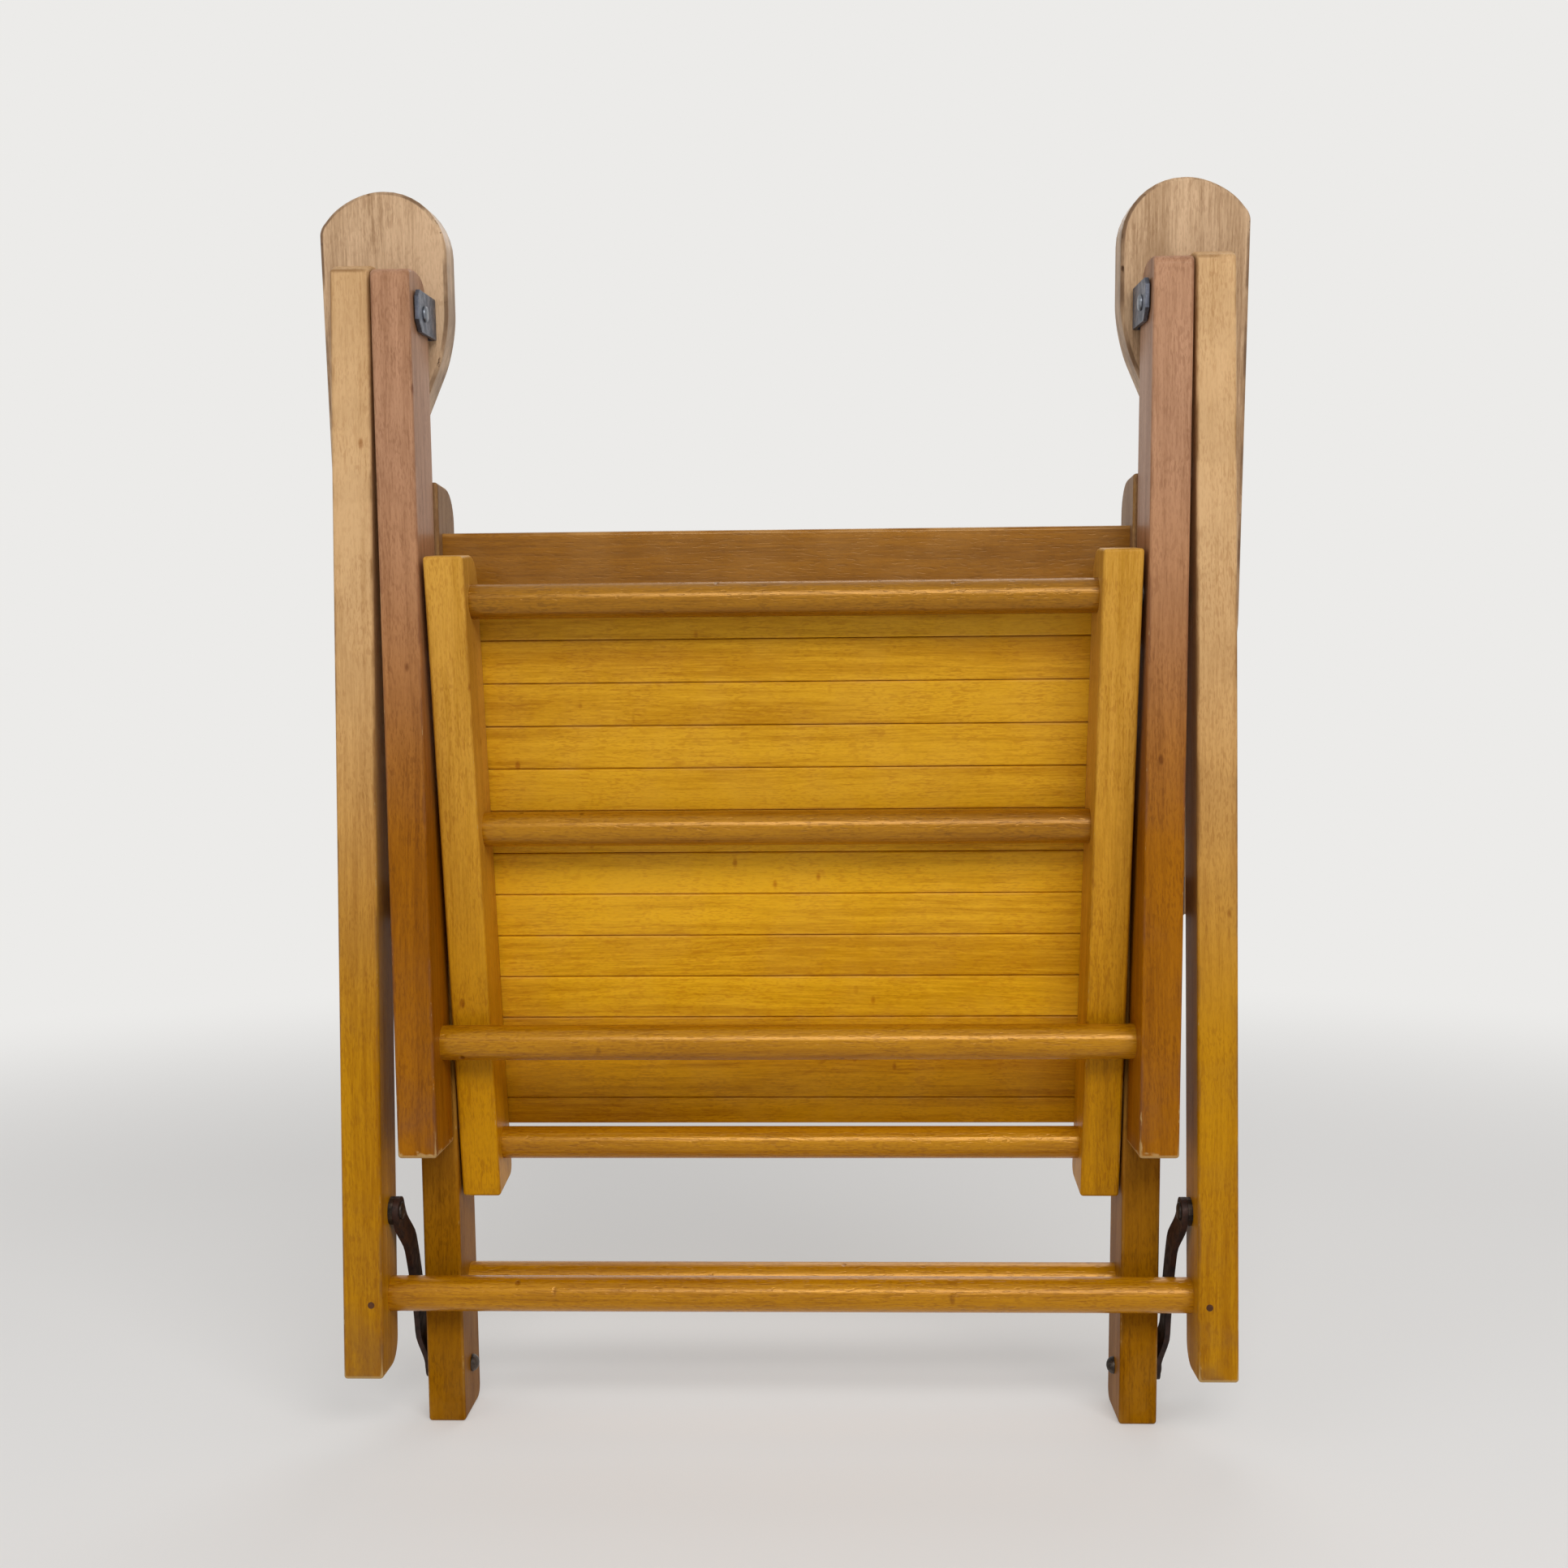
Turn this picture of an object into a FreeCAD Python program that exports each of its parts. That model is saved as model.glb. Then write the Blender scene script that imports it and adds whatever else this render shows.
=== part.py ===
# Folding wooden armchair, folded flat and standing on the ends of its back posts.
#
# Row frame: X across the chair, Y from the front of the packet to its back, Z up.
# The origin is on the floor under the middle of the packet.
# The chair has six moving groups:
#   front legs, rear legs, seat, back, arms and two steel links.
# Every group is drawn in a frame at its own pivot, with Z down the member as a
# negative number, and is then placed in the packet.

import FreeCAD
import Part
import Sketcher
import math
import os

doc = FreeCAD.newDocument("folding_armchair")
sheet = doc.addObject("Spreadsheet::Sheet", "Dimensions")

# Driving dimensions in millimetres. A taper is millimetres sideways per millimetre of length.
DIMENSIONS = [
    ("pivot_height", 800.0, "main pivot above the floor in the folded packet"),
    ("origin_setback", 39.53, "main pivot plane behind the row origin"),
    ("edge_ease", 1.8, "bevel along the edges of legs, rails and posts"),
    ("housing_depth", 12.0, "depth of a dowel or rail end in its member"),
    ("glue_gap", 0.05, "radial gap of a dowel or pin in its glued hole"),
    ("running_gap", 0.05, "radial gap of a pivot pin in its turning hole"),
    ("face_gap", 0.2, "gap between a turning face and the washer or plate beside it"),
    ("pivot_pin_radius", 4.0, "pivot bolt shank"),
    ("pivot_pin_reach", 14.0, "pivot bolt in a seat rail"),
    ("pivot_head_radius", 8.0, "pivot bolt head"),
    ("pivot_head_height", 3.0, "pivot bolt head"),
    ("pivot_nut_radius", 5.6, "nut inside the front bracket"),
    ("pivot_nut_height", 2.2, "nut inside the front bracket"),
    ("head_crown", 1.6, "how much a bolt or rivet head narrows to its crown"),
    ("tool_overshoot", 2.0, "how far a cutting tool passes the face it enters"),
    ("washer_radius", 10.0, "spacing washer"),
    # Rear legs
    ("rear_leg_outer", 313.0, "outer face from the middle plane"),
    ("rear_leg_width", 28.0, "across the chair"),
    ("rear_leg_depth", 43.0, "front face to back face"),
    ("rear_leg_above", 26.3, "top end above the main pivot"),
    ("rear_leg_below", 750.7, "foot below the main pivot"),
    ("rear_foot_round", 18.0, "back corner of the foot"),
    ("rear_rung_drop", 698.0, "rung below the main pivot"),
    ("rear_rung_back", 6.0, "rung behind the leg's centre plane"),
    ("rear_rung_radius", 12.4, "rung"),
    ("rear_rung_housing", 18.0, "depth of the rung's end in the leg"),
    ("rung_pin_radius", 2.5, "locking pin in the leg's front face"),
    ("rung_pin_length", 15.0, "locking pin"),
    ("rung_pin_inset", 20.2, "locking pin from the leg's outer face"),
    ("pin_stand", 0.3, "locking pin's end in front of the leg's front face"),
    ("link_pivot_drop", 638.0, "upper link pivot below the main pivot"),
    ("link_pivot_back", 5.0, "upper link pivot behind the leg's centre plane"),
    # Front legs
    ("front_leg_outer", 283.0, "outer face at the main pivot"),
    ("front_leg_taper", 0.01953, "inward lean towards the foot"),
    ("front_leg_width", 27.6, "across the chair"),
    ("front_leg_depth", 53.0, "front face to back face"),
    ("front_leg_above", 24.5, "top end above the main pivot"),
    ("front_leg_below", 593.2, "foot below the main pivot"),
    ("front_top_round", 20.0, "back corner of the top end"),
    ("front_rung_drop", 517.0, "rung below the main pivot"),
    ("front_rung_back", 4.0, "rung behind the leg's centre plane"),
    ("front_rung_radius", 12.5, "rung"),
    # Seat
    ("seat_pivot_drop", 203.0, "front seat pivot below the main pivot"),
    ("seat_rise", 398.7, "front to rear seat pivot, along Z in the packet"),
    ("seat_offset", 55.0, "front to rear seat pivot, along Y in the packet"),
    ("seat_rail_outer", 248.1, "outer face at the front seat pivot"),
    ("seat_rail_taper", 0.01888, "inward lean towards the rear"),
    ("seat_rail_width", 28.0, "across the chair"),
    ("seat_rail_depth", 47.0, "underside to top face"),
    ("seat_rail_front", 32.8, "front end beyond the front pivot"),
    ("seat_rail_rear", 434.0, "rear end beyond the front pivot"),
    ("seat_end_round", 9.0, "back corner of the rear end"),
    ("seat_front_round", 20.0, "back corner of the front end"),
    ("seat_dowel_radius", 12.5, "front and middle dowels"),
    ("seat_rear_dowel_radius", 10.5, "rear dowel"),
    ("seat_middle_dowel", 164.0, "middle dowel from the front pivot"),
    ("slat_start", -1.6, "first slat's front edge from the front pivot"),
    ("slat_pitch", 31.4, "slat to slat"),
    ("slat_gap", 0.3, "open gap between slats"),
    ("slat_thickness", 10.0, "slat"),
    ("slat_half_length", 238.0, "slat end from the middle plane"),
    ("last_slat_width", 20.0, "narrow rear slat"),
    ("slat_ease", 1.2, "bevel along the edges of slats"),
    # Back
    ("back_post_outer", 268.9, "outer face at the rear seat pivot"),
    ("back_post_taper", 0.0187, "inward lean towards the lower end"),
    ("back_post_width", 27.2, "across the chair"),
    ("back_post_depth", 53.0, "front face to back face"),
    ("back_post_above", 488.2, "top end above the rear seat pivot"),
    ("back_top_round", 24.0, "back corner of the top end"),
    ("back_foot_round", 10.0, "back corner of the lower end"),
    ("back_rung_drop", 102.5, "rung below the rear seat pivot"),
    ("back_rung_back", 7.0, "rung behind the post's centre plane"),
    ("back_rung_radius", 12.0, "rung"),
    ("top_rail_rise", 452.7, "top rail's upper edge above the rear seat pivot"),
    ("top_rail_height", 85.0, "top rail"),
    ("top_rail_clearance", 1.9, "top rail behind the seat deck in the packet"),
    ("top_rail_thickness", 22.0, "top rail"),
    ("back_panel_height", 210.7, "top rail's upper edge to lower rail's upper edge"),
    ("low_rail_height", 42.0, "lower rail"),
    ("low_rail_thickness", 11.0, "lower rail"),
    ("back_slat_under", 16.7, "upright slat's upper end below the top rail's upper edge"),
    ("back_slat_foot", 2.0, "upright slat's lower end above the lower rail's lower edge"),
    ("back_slat_thickness", 7.5, "upright slat"),
    ("back_slat_width", 38.0, "upright slat"),
    ("back_slat_pitch", 62.0, "upright slat to upright slat"),
    ("insert_radius", 5.0, "threaded insert of the arm pivot"),
    ("insert_length", 14.0, "threaded insert of the arm pivot"),
    ("insert_sink", 0.15, "threaded insert's face in the post"),
    # Arms
    ("arm_reach", 425.0, "main pivot to the arm's rear pivot, along Z in the packet"),
    ("arm_offset", 42.0, "main pivot to the arm's rear pivot, along Y in the packet"),
    ("arm_clearance", 36.0, "pivot line to the arm's underside"),
    ("arm_thickness", 28.0, "arm board"),
    ("arm_edge_bevel", 2.5, "bevel around the arm board"),
    ("arm_front_outer", 335.0, "outer corner from the middle plane"),
    ("arm_front_corner", 66.5, "outer corner ahead of the main pivot"),
    ("arm_front_round", 12.0, "outer corner radius"),
    ("arm_nose_across", 312.9, "corner point of the rounded nose"),
    ("arm_nose_reach", 92.8, "corner point of the rounded nose"),
    ("arm_nose_round", 50.0, "nose radius"),
    ("arm_inner", 243.0, "inner edge of the wide front part"),
    ("arm_inner_round", 44.0, "inner corner radius"),
    ("arm_neck_start", 15.0, "inner edge starts to narrow behind the main pivot"),
    ("arm_neck_end", 97.0, "inner edge stops narrowing behind the main pivot"),
    ("arm_neck_round", 110.0, "radius where the neck starts"),
    ("arm_neck_end_round", 55.0, "radius where the neck ends"),
    ("arm_neck_inner", 278.8, "inner edge of the narrow rear part"),
    ("arm_mid_outer", 332.2, "outer edge at the widest point of the taper"),
    ("arm_mid_reach", 225.0, "start of the outer taper behind the main pivot"),
    ("arm_rear_outer", 313.0, "outer corner of the rear end"),
    ("arm_rear_overhang", 14.0, "rear end behind the arm's rear pivot"),
    ("arm_rear_round", 10.0, "corners of the rear end"),
    ("front_plate_face", 254.4, "front bracket's outer face from the middle plane"),
    ("rear_plate_face", 275.6, "rear bracket's outer face from the middle plane"),
    ("front_plate_thickness", 3.0, "front bracket plate"),
    ("rear_plate_thickness", 2.5, "rear bracket plate"),
    ("front_plate_low", 17.0, "front bracket's edge below the pivot line"),
    ("rear_plate_low", 13.0, "rear bracket's edge below the pivot line"),
    ("plate_half_length", 15.5, "bracket plate along the arm from its pivot"),
    ("plate_chamfer", 8.0, "cut corner of a bracket plate"),
    ("plate_small_chamfer", 5.0, "cut front corner of a bracket plate"),
    ("front_flange_reach", 25.0, "front bracket flange beyond the plate"),
    ("rear_flange_reach", 20.0, "rear bracket flange beyond the plate"),
    ("screw_radius", 2.2, "bracket screw shank"),
    ("screw_head_radius", 4.2, "bracket screw head"),
    ("screw_head_height", 1.8, "bracket screw head"),
    ("screw_length", 16.0, "bracket screw in the wood"),
    ("screw_spread", 10.0, "bracket screws either side of the pivot"),
    ("front_screw_inset", 14.5, "front bracket's screws beyond its plate"),
    ("rear_screw_inset", 11.0, "rear bracket's screws beyond its plate"),
    # Steel links
    ("link_drop", 128.0, "upper to lower link pivot, along Z in the packet"),
    ("link_offset", 50.0, "upper to lower link pivot, along Y in the packet"),
    ("link_half_width", 10.0, "strap"),
    ("link_thickness", 4.0, "strap"),
    ("link_bow", 8.0, "strap's middle behind the line of its pivots"),
    ("link_upper_outer", 281.6, "strap's outer face at the upper pivot"),
    ("link_lower_outer", 271.4, "strap's outer face at the lower pivot"),
    ("link_bend_length", 26.0, "straight end of the strap from the upper pivot"),
    ("link_low_length", 10.0, "straight end of the strap from the lower pivot"),
    ("link_bend_round", 30.0, "radius of the strap's bends"),
    ("link_sweep", 60.0, "width across X that holds the whole bent strap"),
    ("spacer_gap", 0.02, "spacer to rear leg"),
    ("rivet_radius", 3.0, "link rivet shank"),
    ("rivet_depth", 12.0, "upper link rivet in the rear leg"),
    ("rivet_head_radius", 6.2, "link rivet head"),
    ("rivet_head_height", 1.8, "link rivet head"),
    ("dome_height", 5.2, "domed head on the back post's inner face"),
]

NUMBER_OF_SLATS = 13
NUMBER_OF_BACK_SLATS = 7

# How far an edge's middle may lie from the place where it is looked for
EDGE_TOLERANCE = 0.6
# Largest height of an edge that lies flat in a face
FLAT_TOLERANCE = 0.01
# Domed bolt head: radius of the crown, and height and radius of the ring below it
DOME_CROWN_SHARE = 0.4
DOME_RING_HEIGHT = 0.6
DOME_RING_SHARE = 0.85
# Sides of small hidden pieces that needn't be round, and how much wider a bore with
# flat sides is than the round bolt in it
SCREW_SIDES = 8
SLEEVE_SIDES = 12
WASHER_SIDES = 16
BORE_GROWTH = 1 / math.cos(math.pi / WASHER_SIDES)


class Size:
    """A length that keeps the spreadsheet expression it came from."""

    def __init__(self, value, text=None):
        self.value = float(value)
        self.text = text if text is not None else repr(float(value))

    @staticmethod
    def of(other):
        """Return the given size or number as a size."""
        return other if isinstance(other, Size) else Size(other)

    def __add__(self, other):
        other = Size.of(other)
        return Size(self.value + other.value, "(%s + %s)" % (self.text, other.text))

    def __sub__(self, other):
        other = Size.of(other)
        return Size(self.value - other.value, "(%s - %s)" % (self.text, other.text))

    def __mul__(self, other):
        other = Size.of(other)
        return Size(self.value * other.value, "(%s * %s)" % (self.text, other.text))

    def __truediv__(self, other):
        other = Size.of(other)
        return Size(self.value / other.value, "(%s / %s)" % (self.text, other.text))

    def __radd__(self, other):
        return Size.of(other) + self

    def __rsub__(self, other):
        return Size.of(other) - self

    def __rmul__(self, other):
        return Size.of(other) * self

    def __neg__(self):
        return Size(-self.value, "(0 - %s)" % self.text)


class Frame:
    """A group's own frame: a point in the packet and a turn about X."""

    def __init__(self, y, z, across=None, along=None):
        self.y = y
        self.z = z
        self.turned = across is not None
        if self.turned:
            span = math.hypot(across.value, along.value)
            root = "sqrt(%s ^ 2 + %s ^ 2)" % (across.text, along.text)
            self.span = Size(span, root)
            self.sine = across / self.span
            self.cosine = along / self.span
            self.angle = math.degrees(math.atan2(across.value, along.value))
            self.angle_text = "atan(%s / %s)" % (across.text, along.text)
        else:
            self.sine = Size(0)
            self.cosine = Size(1)

    def point(self, y, z):
        """Return the packet coordinates of a point of this frame."""
        if not self.turned:
            return self.y + y, self.z + z
        across = self.y + y * self.cosine - z * self.sine
        up = self.z + y * self.sine + z * self.cosine
        return across, up


def fill_sheet():
    """Write the dimensions into the spreadsheet."""
    for row, (alias, value, note) in enumerate(DIMENSIONS, start=1):
        sheet.set("A%d" % row, note)
        sheet.set("B%d" % row, str(value))
        sheet.setAlias("B%d" % row, alias)
    doc.recompute()


def dim(alias):
    """Return a spreadsheet dimension as a size."""
    for name, value, note in DIMENSIONS:
        if name == alias:
            return Size(value, "Dimensions." + alias)
    raise KeyError(alias)


def bind(obj, prop, size):
    """Drive a property from the spreadsheet."""
    size = Size.of(size)
    if "Dimensions." in size.text:
        obj.setExpression(prop, size.text)


def settle(obj, frame, y=0.0, z=0.0, x=0.0, axis_turn=None):
    """Place an object at a point of a frame, turned with that frame."""
    across, up = frame.point(Size.of(y), Size.of(z))
    side = Size.of(x)
    turn = FreeCAD.Rotation(FreeCAD.Vector(1, 0, 0), frame.angle if frame.turned else 0.0)
    if axis_turn is not None:
        turn = axis_turn
    place = FreeCAD.Vector(side.value, across.value, up.value)
    obj.Placement = FreeCAD.Placement(place, turn)
    bind(obj, ".Placement.Base.x", side)
    bind(obj, ".Placement.Base.y", across)
    bind(obj, ".Placement.Base.z", up)
    if frame.turned and axis_turn is None:
        obj.setExpression(".Placement.Rotation.Angle", frame.angle_text)


def origin_plane(body, role):
    """Return one of a body's own origin planes."""
    for feature in body.Origin.OriginFeatures:
        if feature.Role == role:
            return feature
    raise KeyError(role)


def outline(body, name, role, points):
    """Draw a closed outline whose corners follow the spreadsheet."""
    sketch = body.newObject("Sketcher::SketchObject", name)
    sketch.AttachmentSupport = [(origin_plane(body, role), "")]
    sketch.MapMode = "FlatFace"
    count = len(points)
    corners = [FreeCAD.Vector(Size.of(x).value, Size.of(y).value, 0) for x, y in points]
    for i in range(count):
        sketch.addGeometry(Part.LineSegment(corners[i], corners[(i + 1) % count]), False)
    for i in range(count):
        sketch.addConstraint(Sketcher.Constraint("Coincident", i, 2, (i + 1) % count, 1))
    for i, (x, y) in enumerate(points):
        for kind, size in (("DistanceX", Size.of(x)), ("DistanceY", Size.of(y))):
            rule = Sketcher.Constraint(kind, -1, 1, i, 1, size.value)
            index = sketch.addConstraint(rule)
            if "Dimensions." in size.text:
                label = "%s%d" % ("x" if kind == "DistanceX" else "y", i)
                sketch.renameConstraint(index, label)
                sketch.setExpression("Constraints." + label, size.text)
    return sketch


def pad(body, name, sketch, length, symmetric=True):
    """Extrude an outline, by default to both sides of its plane."""
    feature = body.newObject("PartDesign::Pad", name)
    feature.Profile = sketch
    feature.Length = Size.of(length).value
    bind(feature, "Length", length)
    feature.Midplane = symmetric
    sketch.Visibility = False
    doc.recompute()
    return feature


def round_edges(body, name, source, radius, chosen, flat=False):
    """Round or bevel the edges of a feature for which the given test is true."""
    names = []
    for i, edge in enumerate(source.Shape.Edges, start=1):
        if chosen(edge):
            names.append("Edge%d" % i)
    if not names:
        raise RuntimeError("no edge to round for " + name)
    kind, prop = ("PartDesign::Chamfer", "Size") if flat else ("PartDesign::Fillet", "Radius")
    feature = body.newObject(kind, name)
    feature.Base = (source, names)
    setattr(feature, prop, Size.of(radius).value)
    bind(feature, prop, radius)
    doc.recompute()
    if feature.Shape.isNull():
        raise RuntimeError("no edge finish made for " + name)
    return feature


def runs_along(axis, least=0.0):
    """Return a test for straight edges that run mostly along an axis."""
    def test(edge):
        if edge.Curve.TypeId != "Part::GeomLine" or edge.Length <= least:
            return False
        ends = [vertex.Point for vertex in edge.Vertexes]
        way = (ends[1] - ends[0]).normalize()
        return abs(getattr(way, axis)) > 0.99
    return test


def near(test, **where):
    """Narrow an edge test to edges whose middle lies at the given coordinates."""
    def narrowed(edge):
        if not test(edge):
            return False
        middle = edge.BoundBox.Center
        return all(abs(getattr(middle, k) - v) < EDGE_TOLERANCE for k, v in where.items())
    return narrowed


def upright_rod(name, radius, height, sides):
    """Return a round rod, or one with the given number of flat sides."""
    kind, prop = ("Part::Prism", "Circumradius") if sides else ("Part::Cylinder", "Radius")
    rod = doc.addObject(kind, name)
    if sides:
        rod.Polygon = sides
    setattr(rod, prop, Size.of(radius).value)
    rod.Height = height.value
    bind(rod, prop, radius)
    bind(rod, "Height", height)
    return rod


def cylinder_along_x(name, radius, start, end, y, z, sides=0):
    """Return a rod along X between two faces, in a group's own frame."""
    start, end = Size.of(start), Size.of(end)
    rod = upright_rod(name, radius, end - start, sides)
    turn = FreeCAD.Rotation(FreeCAD.Vector(0, 1, 0), 90)
    spot = FreeCAD.Vector(start.value, Size.of(y).value, Size.of(z).value)
    rod.Placement = FreeCAD.Placement(spot, turn)
    bind(rod, ".Placement.Base.x", start)
    bind(rod, ".Placement.Base.y", y)
    bind(rod, ".Placement.Base.z", z)
    return rod


def cylinder_along_y(name, radius, start, end, x, z, sides=0):
    """Return a rod along Y between two planes, in a group's own frame."""
    start, end = Size.of(start), Size.of(end)
    rod = upright_rod(name, radius, end - start, sides)
    turn = FreeCAD.Rotation(FreeCAD.Vector(1, 0, 0), -90)
    spot = FreeCAD.Vector(Size.of(x).value, start.value, Size.of(z).value)
    rod.Placement = FreeCAD.Placement(spot, turn)
    bind(rod, ".Placement.Base.x", x)
    bind(rod, ".Placement.Base.y", start)
    bind(rod, ".Placement.Base.z", z)
    return rod


def block(name, x0, x1, y0, y1, z0, z1):
    """Return a box between six planes, in a group's own frame."""
    solid = doc.addObject("Part::Box", name)
    spans = (("Length", x0, x1), ("Width", y0, y1), ("Height", z0, z1))
    for prop, low, high in spans:
        span = Size.of(high) - Size.of(low)
        setattr(solid, prop, span.value)
        bind(solid, prop, span)
    spot = FreeCAD.Vector(Size.of(x0).value, Size.of(y0).value, Size.of(z0).value)
    solid.Placement = FreeCAD.Placement(spot, FreeCAD.Rotation())
    bind(solid, ".Placement.Base.x", x0)
    bind(solid, ".Placement.Base.y", y0)
    bind(solid, ".Placement.Base.z", z0)
    return solid


def fuse(name, solids):
    """Join solids into one."""
    joined = doc.addObject("Part::MultiFuse", name)
    joined.Shapes = solids
    joined.Refine = True
    return joined


def cut(name, base, tools):
    """Cut a group of tools out of a solid."""
    tool = tools[0]
    if len(tools) > 1:
        tool = doc.addObject("Part::MultiFuse", name + "_tools")
        tool.Shapes = tools
    result = doc.addObject("Part::Cut", name + "_cut")
    result.Base = base
    result.Tool = tool
    return result


def mirrored(source, name):
    """Return the left-hand twin of a right-hand piece."""
    twin = doc.addObject("Part::Mirroring", name + "_twin")
    twin.Source = source
    twin.Normal = FreeCAD.Vector(1, 0, 0)
    twin.Base = FreeCAD.Vector(0, 0, 0)
    twin.Label = name
    return twin


def group(name, solids):
    """Return equal fasteners as one node of separate solids."""
    gathered = doc.addObject("Part::Compound", name + "_group")
    gathered.Links = solids
    gathered.Label = name
    return gathered


def pair(source, name):
    """Return a right-hand fastener and its twin as one node."""
    return group(name, [source, mirrored(source, name + "_left")])


def member(name, outer, taper, width, top, bottom, depth, corners):
    """Return a straight wooden member that may lean inward towards its lower end.

    The member is drawn in its own frame with its pivot at Z = 0. Each corner is
    a name, a radius, and the sides of the member it lies on.
    """
    body = doc.addObject("PartDesign::Body", name + "_body")
    high = outer + taper * top
    low = outer - taper * bottom
    points = [(high, top), (low, -bottom), (low - width, -bottom), (high - width, top)]
    front = outline(body, name + "_front", "XZ_Plane", points)
    last = pad(body, name + "_pad", front, depth)
    for label, radius, back, upper in corners:
        edge_y = depth.value / 2 * back
        edge_z = top.value if upper else -bottom.value
        chosen = near(runs_along("x"), y=edge_y, z=edge_z)
        last = round_edges(body, name + "_" + label, last, radius, chosen)
    chosen = runs_along("z", bottom.value / 2)
    last = round_edges(body, name + "_ease", last, dim("edge_ease"), chosen, flat=True)
    body.Tip = last
    return body


def bar(name, y0, y1, z0, z1, half_length, ease):
    """Return a straight bar across the chair with eased long edges."""
    body = doc.addObject("PartDesign::Body", name + "_body")
    section = outline(body, name + "_section", "YZ_Plane",
                      [(y0, z0), (y1, z0), (y1, z1), (y0, z1)])
    last = pad(body, name + "_pad", section, half_length * 2)
    last = round_edges(body, name + "_ease", last, ease, runs_along("x"), flat=True)
    body.Tip = last
    return body


def turned(name, stations):
    """Return a turned piece along X from its stations of position and radius."""
    body = doc.addObject("PartDesign::Body", name + "_body")
    first, final = stations[0][0], stations[-1][0]
    points = [(first, 0.0)] + list(stations) + [(final, 0.0)]
    section = outline(body, name + "_section", "XZ_Plane", points)
    spin = body.newObject("PartDesign::Revolution", name + "_turn")
    spin.Profile = section
    spin.ReferenceAxis = (origin_plane(body, "X_Axis"), [""])
    spin.Angle = 360
    section.Visibility = False
    doc.recompute()
    body.Tip = spin
    return body


fill_sheet()

# Frames of the moving groups
main = Frame(dim("origin_setback") * -1, dim("pivot_height"))
seat = Frame(main.y, main.z - dim("seat_pivot_drop"), dim("seat_offset"), dim("seat_rise"))
back = Frame(main.y + dim("seat_offset"), main.z - dim("seat_pivot_drop") - dim("seat_rise"))
arms = Frame(main.y, main.z, dim("arm_offset"), dim("arm_reach"))
links = Frame(main.y + dim("link_pivot_back"), main.z - dim("link_pivot_drop"),
              dim("link_offset"), dim("link_drop"))

nodes = {}


def keep(name, obj):
    """Name a finished piece and list it for export."""
    obj.Label = name
    nodes[name] = obj
    return obj


def keep_sides(name, obj):
    """List a right-hand piece and its left-hand twin."""
    keep(name + "_right", obj)
    keep(name + "_left", mirrored(obj, name + "_left"))


# Common sizes
pin = dim("pivot_pin_radius")
pin_hole = pin + dim("running_gap")
glue = dim("glue_gap")
gap = dim("face_gap")
housing = dim("housing_depth")
past = dim("tool_overshoot")

# Rear legs: upright members with a rung near the feet
rear_outer = dim("rear_leg_outer")
rear_inner = rear_outer - dim("rear_leg_width")
rear_depth = dim("rear_leg_depth")
rung_z = -dim("rear_rung_drop")
rung_y = dim("rear_rung_back")
link_z = -dim("link_pivot_drop")
link_y = dim("link_pivot_back")
rung_end = rear_inner + dim("rear_rung_housing")
rivet = dim("rivet_radius")
rivet_depth = dim("rivet_depth")
pin_x = rear_outer - dim("rung_pin_inset")
pin_front = rear_depth * -0.5
body = member("rear_leg", rear_outer, Size(0), dim("rear_leg_width"), dim("rear_leg_above"),
              dim("rear_leg_below"), rear_depth, [("foot", dim("rear_foot_round"), 1, False)])
leg = cut("rear_leg", body, [
    cylinder_along_x("rear_leg_pivot_hole", pin_hole, rear_inner - past, rear_outer + past, 0, 0),
    cylinder_along_x("rear_leg_rung_hole", dim("rear_rung_radius") + glue, rear_inner - past,
                     rung_end + glue, rung_y, rung_z),
    cylinder_along_x("rear_leg_link_hole", rivet + glue, rear_inner - past,
                     rear_inner + rivet_depth + glue, link_y, link_z),
    cylinder_along_y("rear_leg_pin_hole", dim("rung_pin_radius") + glue, pin_front - past,
                     pin_front + dim("rung_pin_length"), pin_x, rung_z),
])
settle(leg, main)
keep_sides("rear_leg", leg)
rung = cylinder_along_x("rear_leg_rung", dim("rear_rung_radius"), -rung_end, rung_end, 0, 0)
settle(rung, main, rung_y, rung_z, -rung_end, FreeCAD.Rotation(FreeCAD.Vector(0, 1, 0), 90))
keep("rear_leg_rung", rung)
lock = cylinder_along_y("rung_locking_pin", dim("rung_pin_radius"), 0,
                        dim("rung_pin_length"), pin_x, 0)
settle(lock, main, pin_front - dim("pin_stand"), rung_z, pin_x,
       FreeCAD.Rotation(FreeCAD.Vector(1, 0, 0), -90))
keep("rung_locking_pins", pair(lock, "rung_locking_pins"))

# Front legs: members that lean inward towards the feet, with a rung above them
front_outer = dim("front_leg_outer")
front_taper = dim("front_leg_taper")
front_width = dim("front_leg_width")
front_depth = dim("front_leg_depth")


def front_face(drop):
    """Return the front leg's outer face at a distance below the main pivot."""
    return front_outer - front_taper * drop


seat_drop = dim("seat_pivot_drop")
front_rung_end = front_face(dim("front_rung_drop")) - front_width + housing
body = member("front_leg", front_outer, front_taper, front_width, dim("front_leg_above"),
              dim("front_leg_below"), front_depth,
              [("top", dim("front_top_round"), 1, True)])
leg = cut("front_leg", body, [
    cylinder_along_x("front_leg_pivot_hole", pin + glue, front_outer - front_width - past,
                     front_outer + past, 0, 0),
    cylinder_along_x("front_leg_seat_hole", pin + glue, front_face(seat_drop) - front_width - past,
                     front_face(seat_drop) + past, 0, -seat_drop),
    cylinder_along_x("front_leg_rung_hole", dim("front_rung_radius") + glue,
                     front_rung_end - housing - past, front_rung_end + glue,
                     dim("front_rung_back"), -dim("front_rung_drop")),
])
settle(leg, main)
keep_sides("front_leg", leg)
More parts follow.
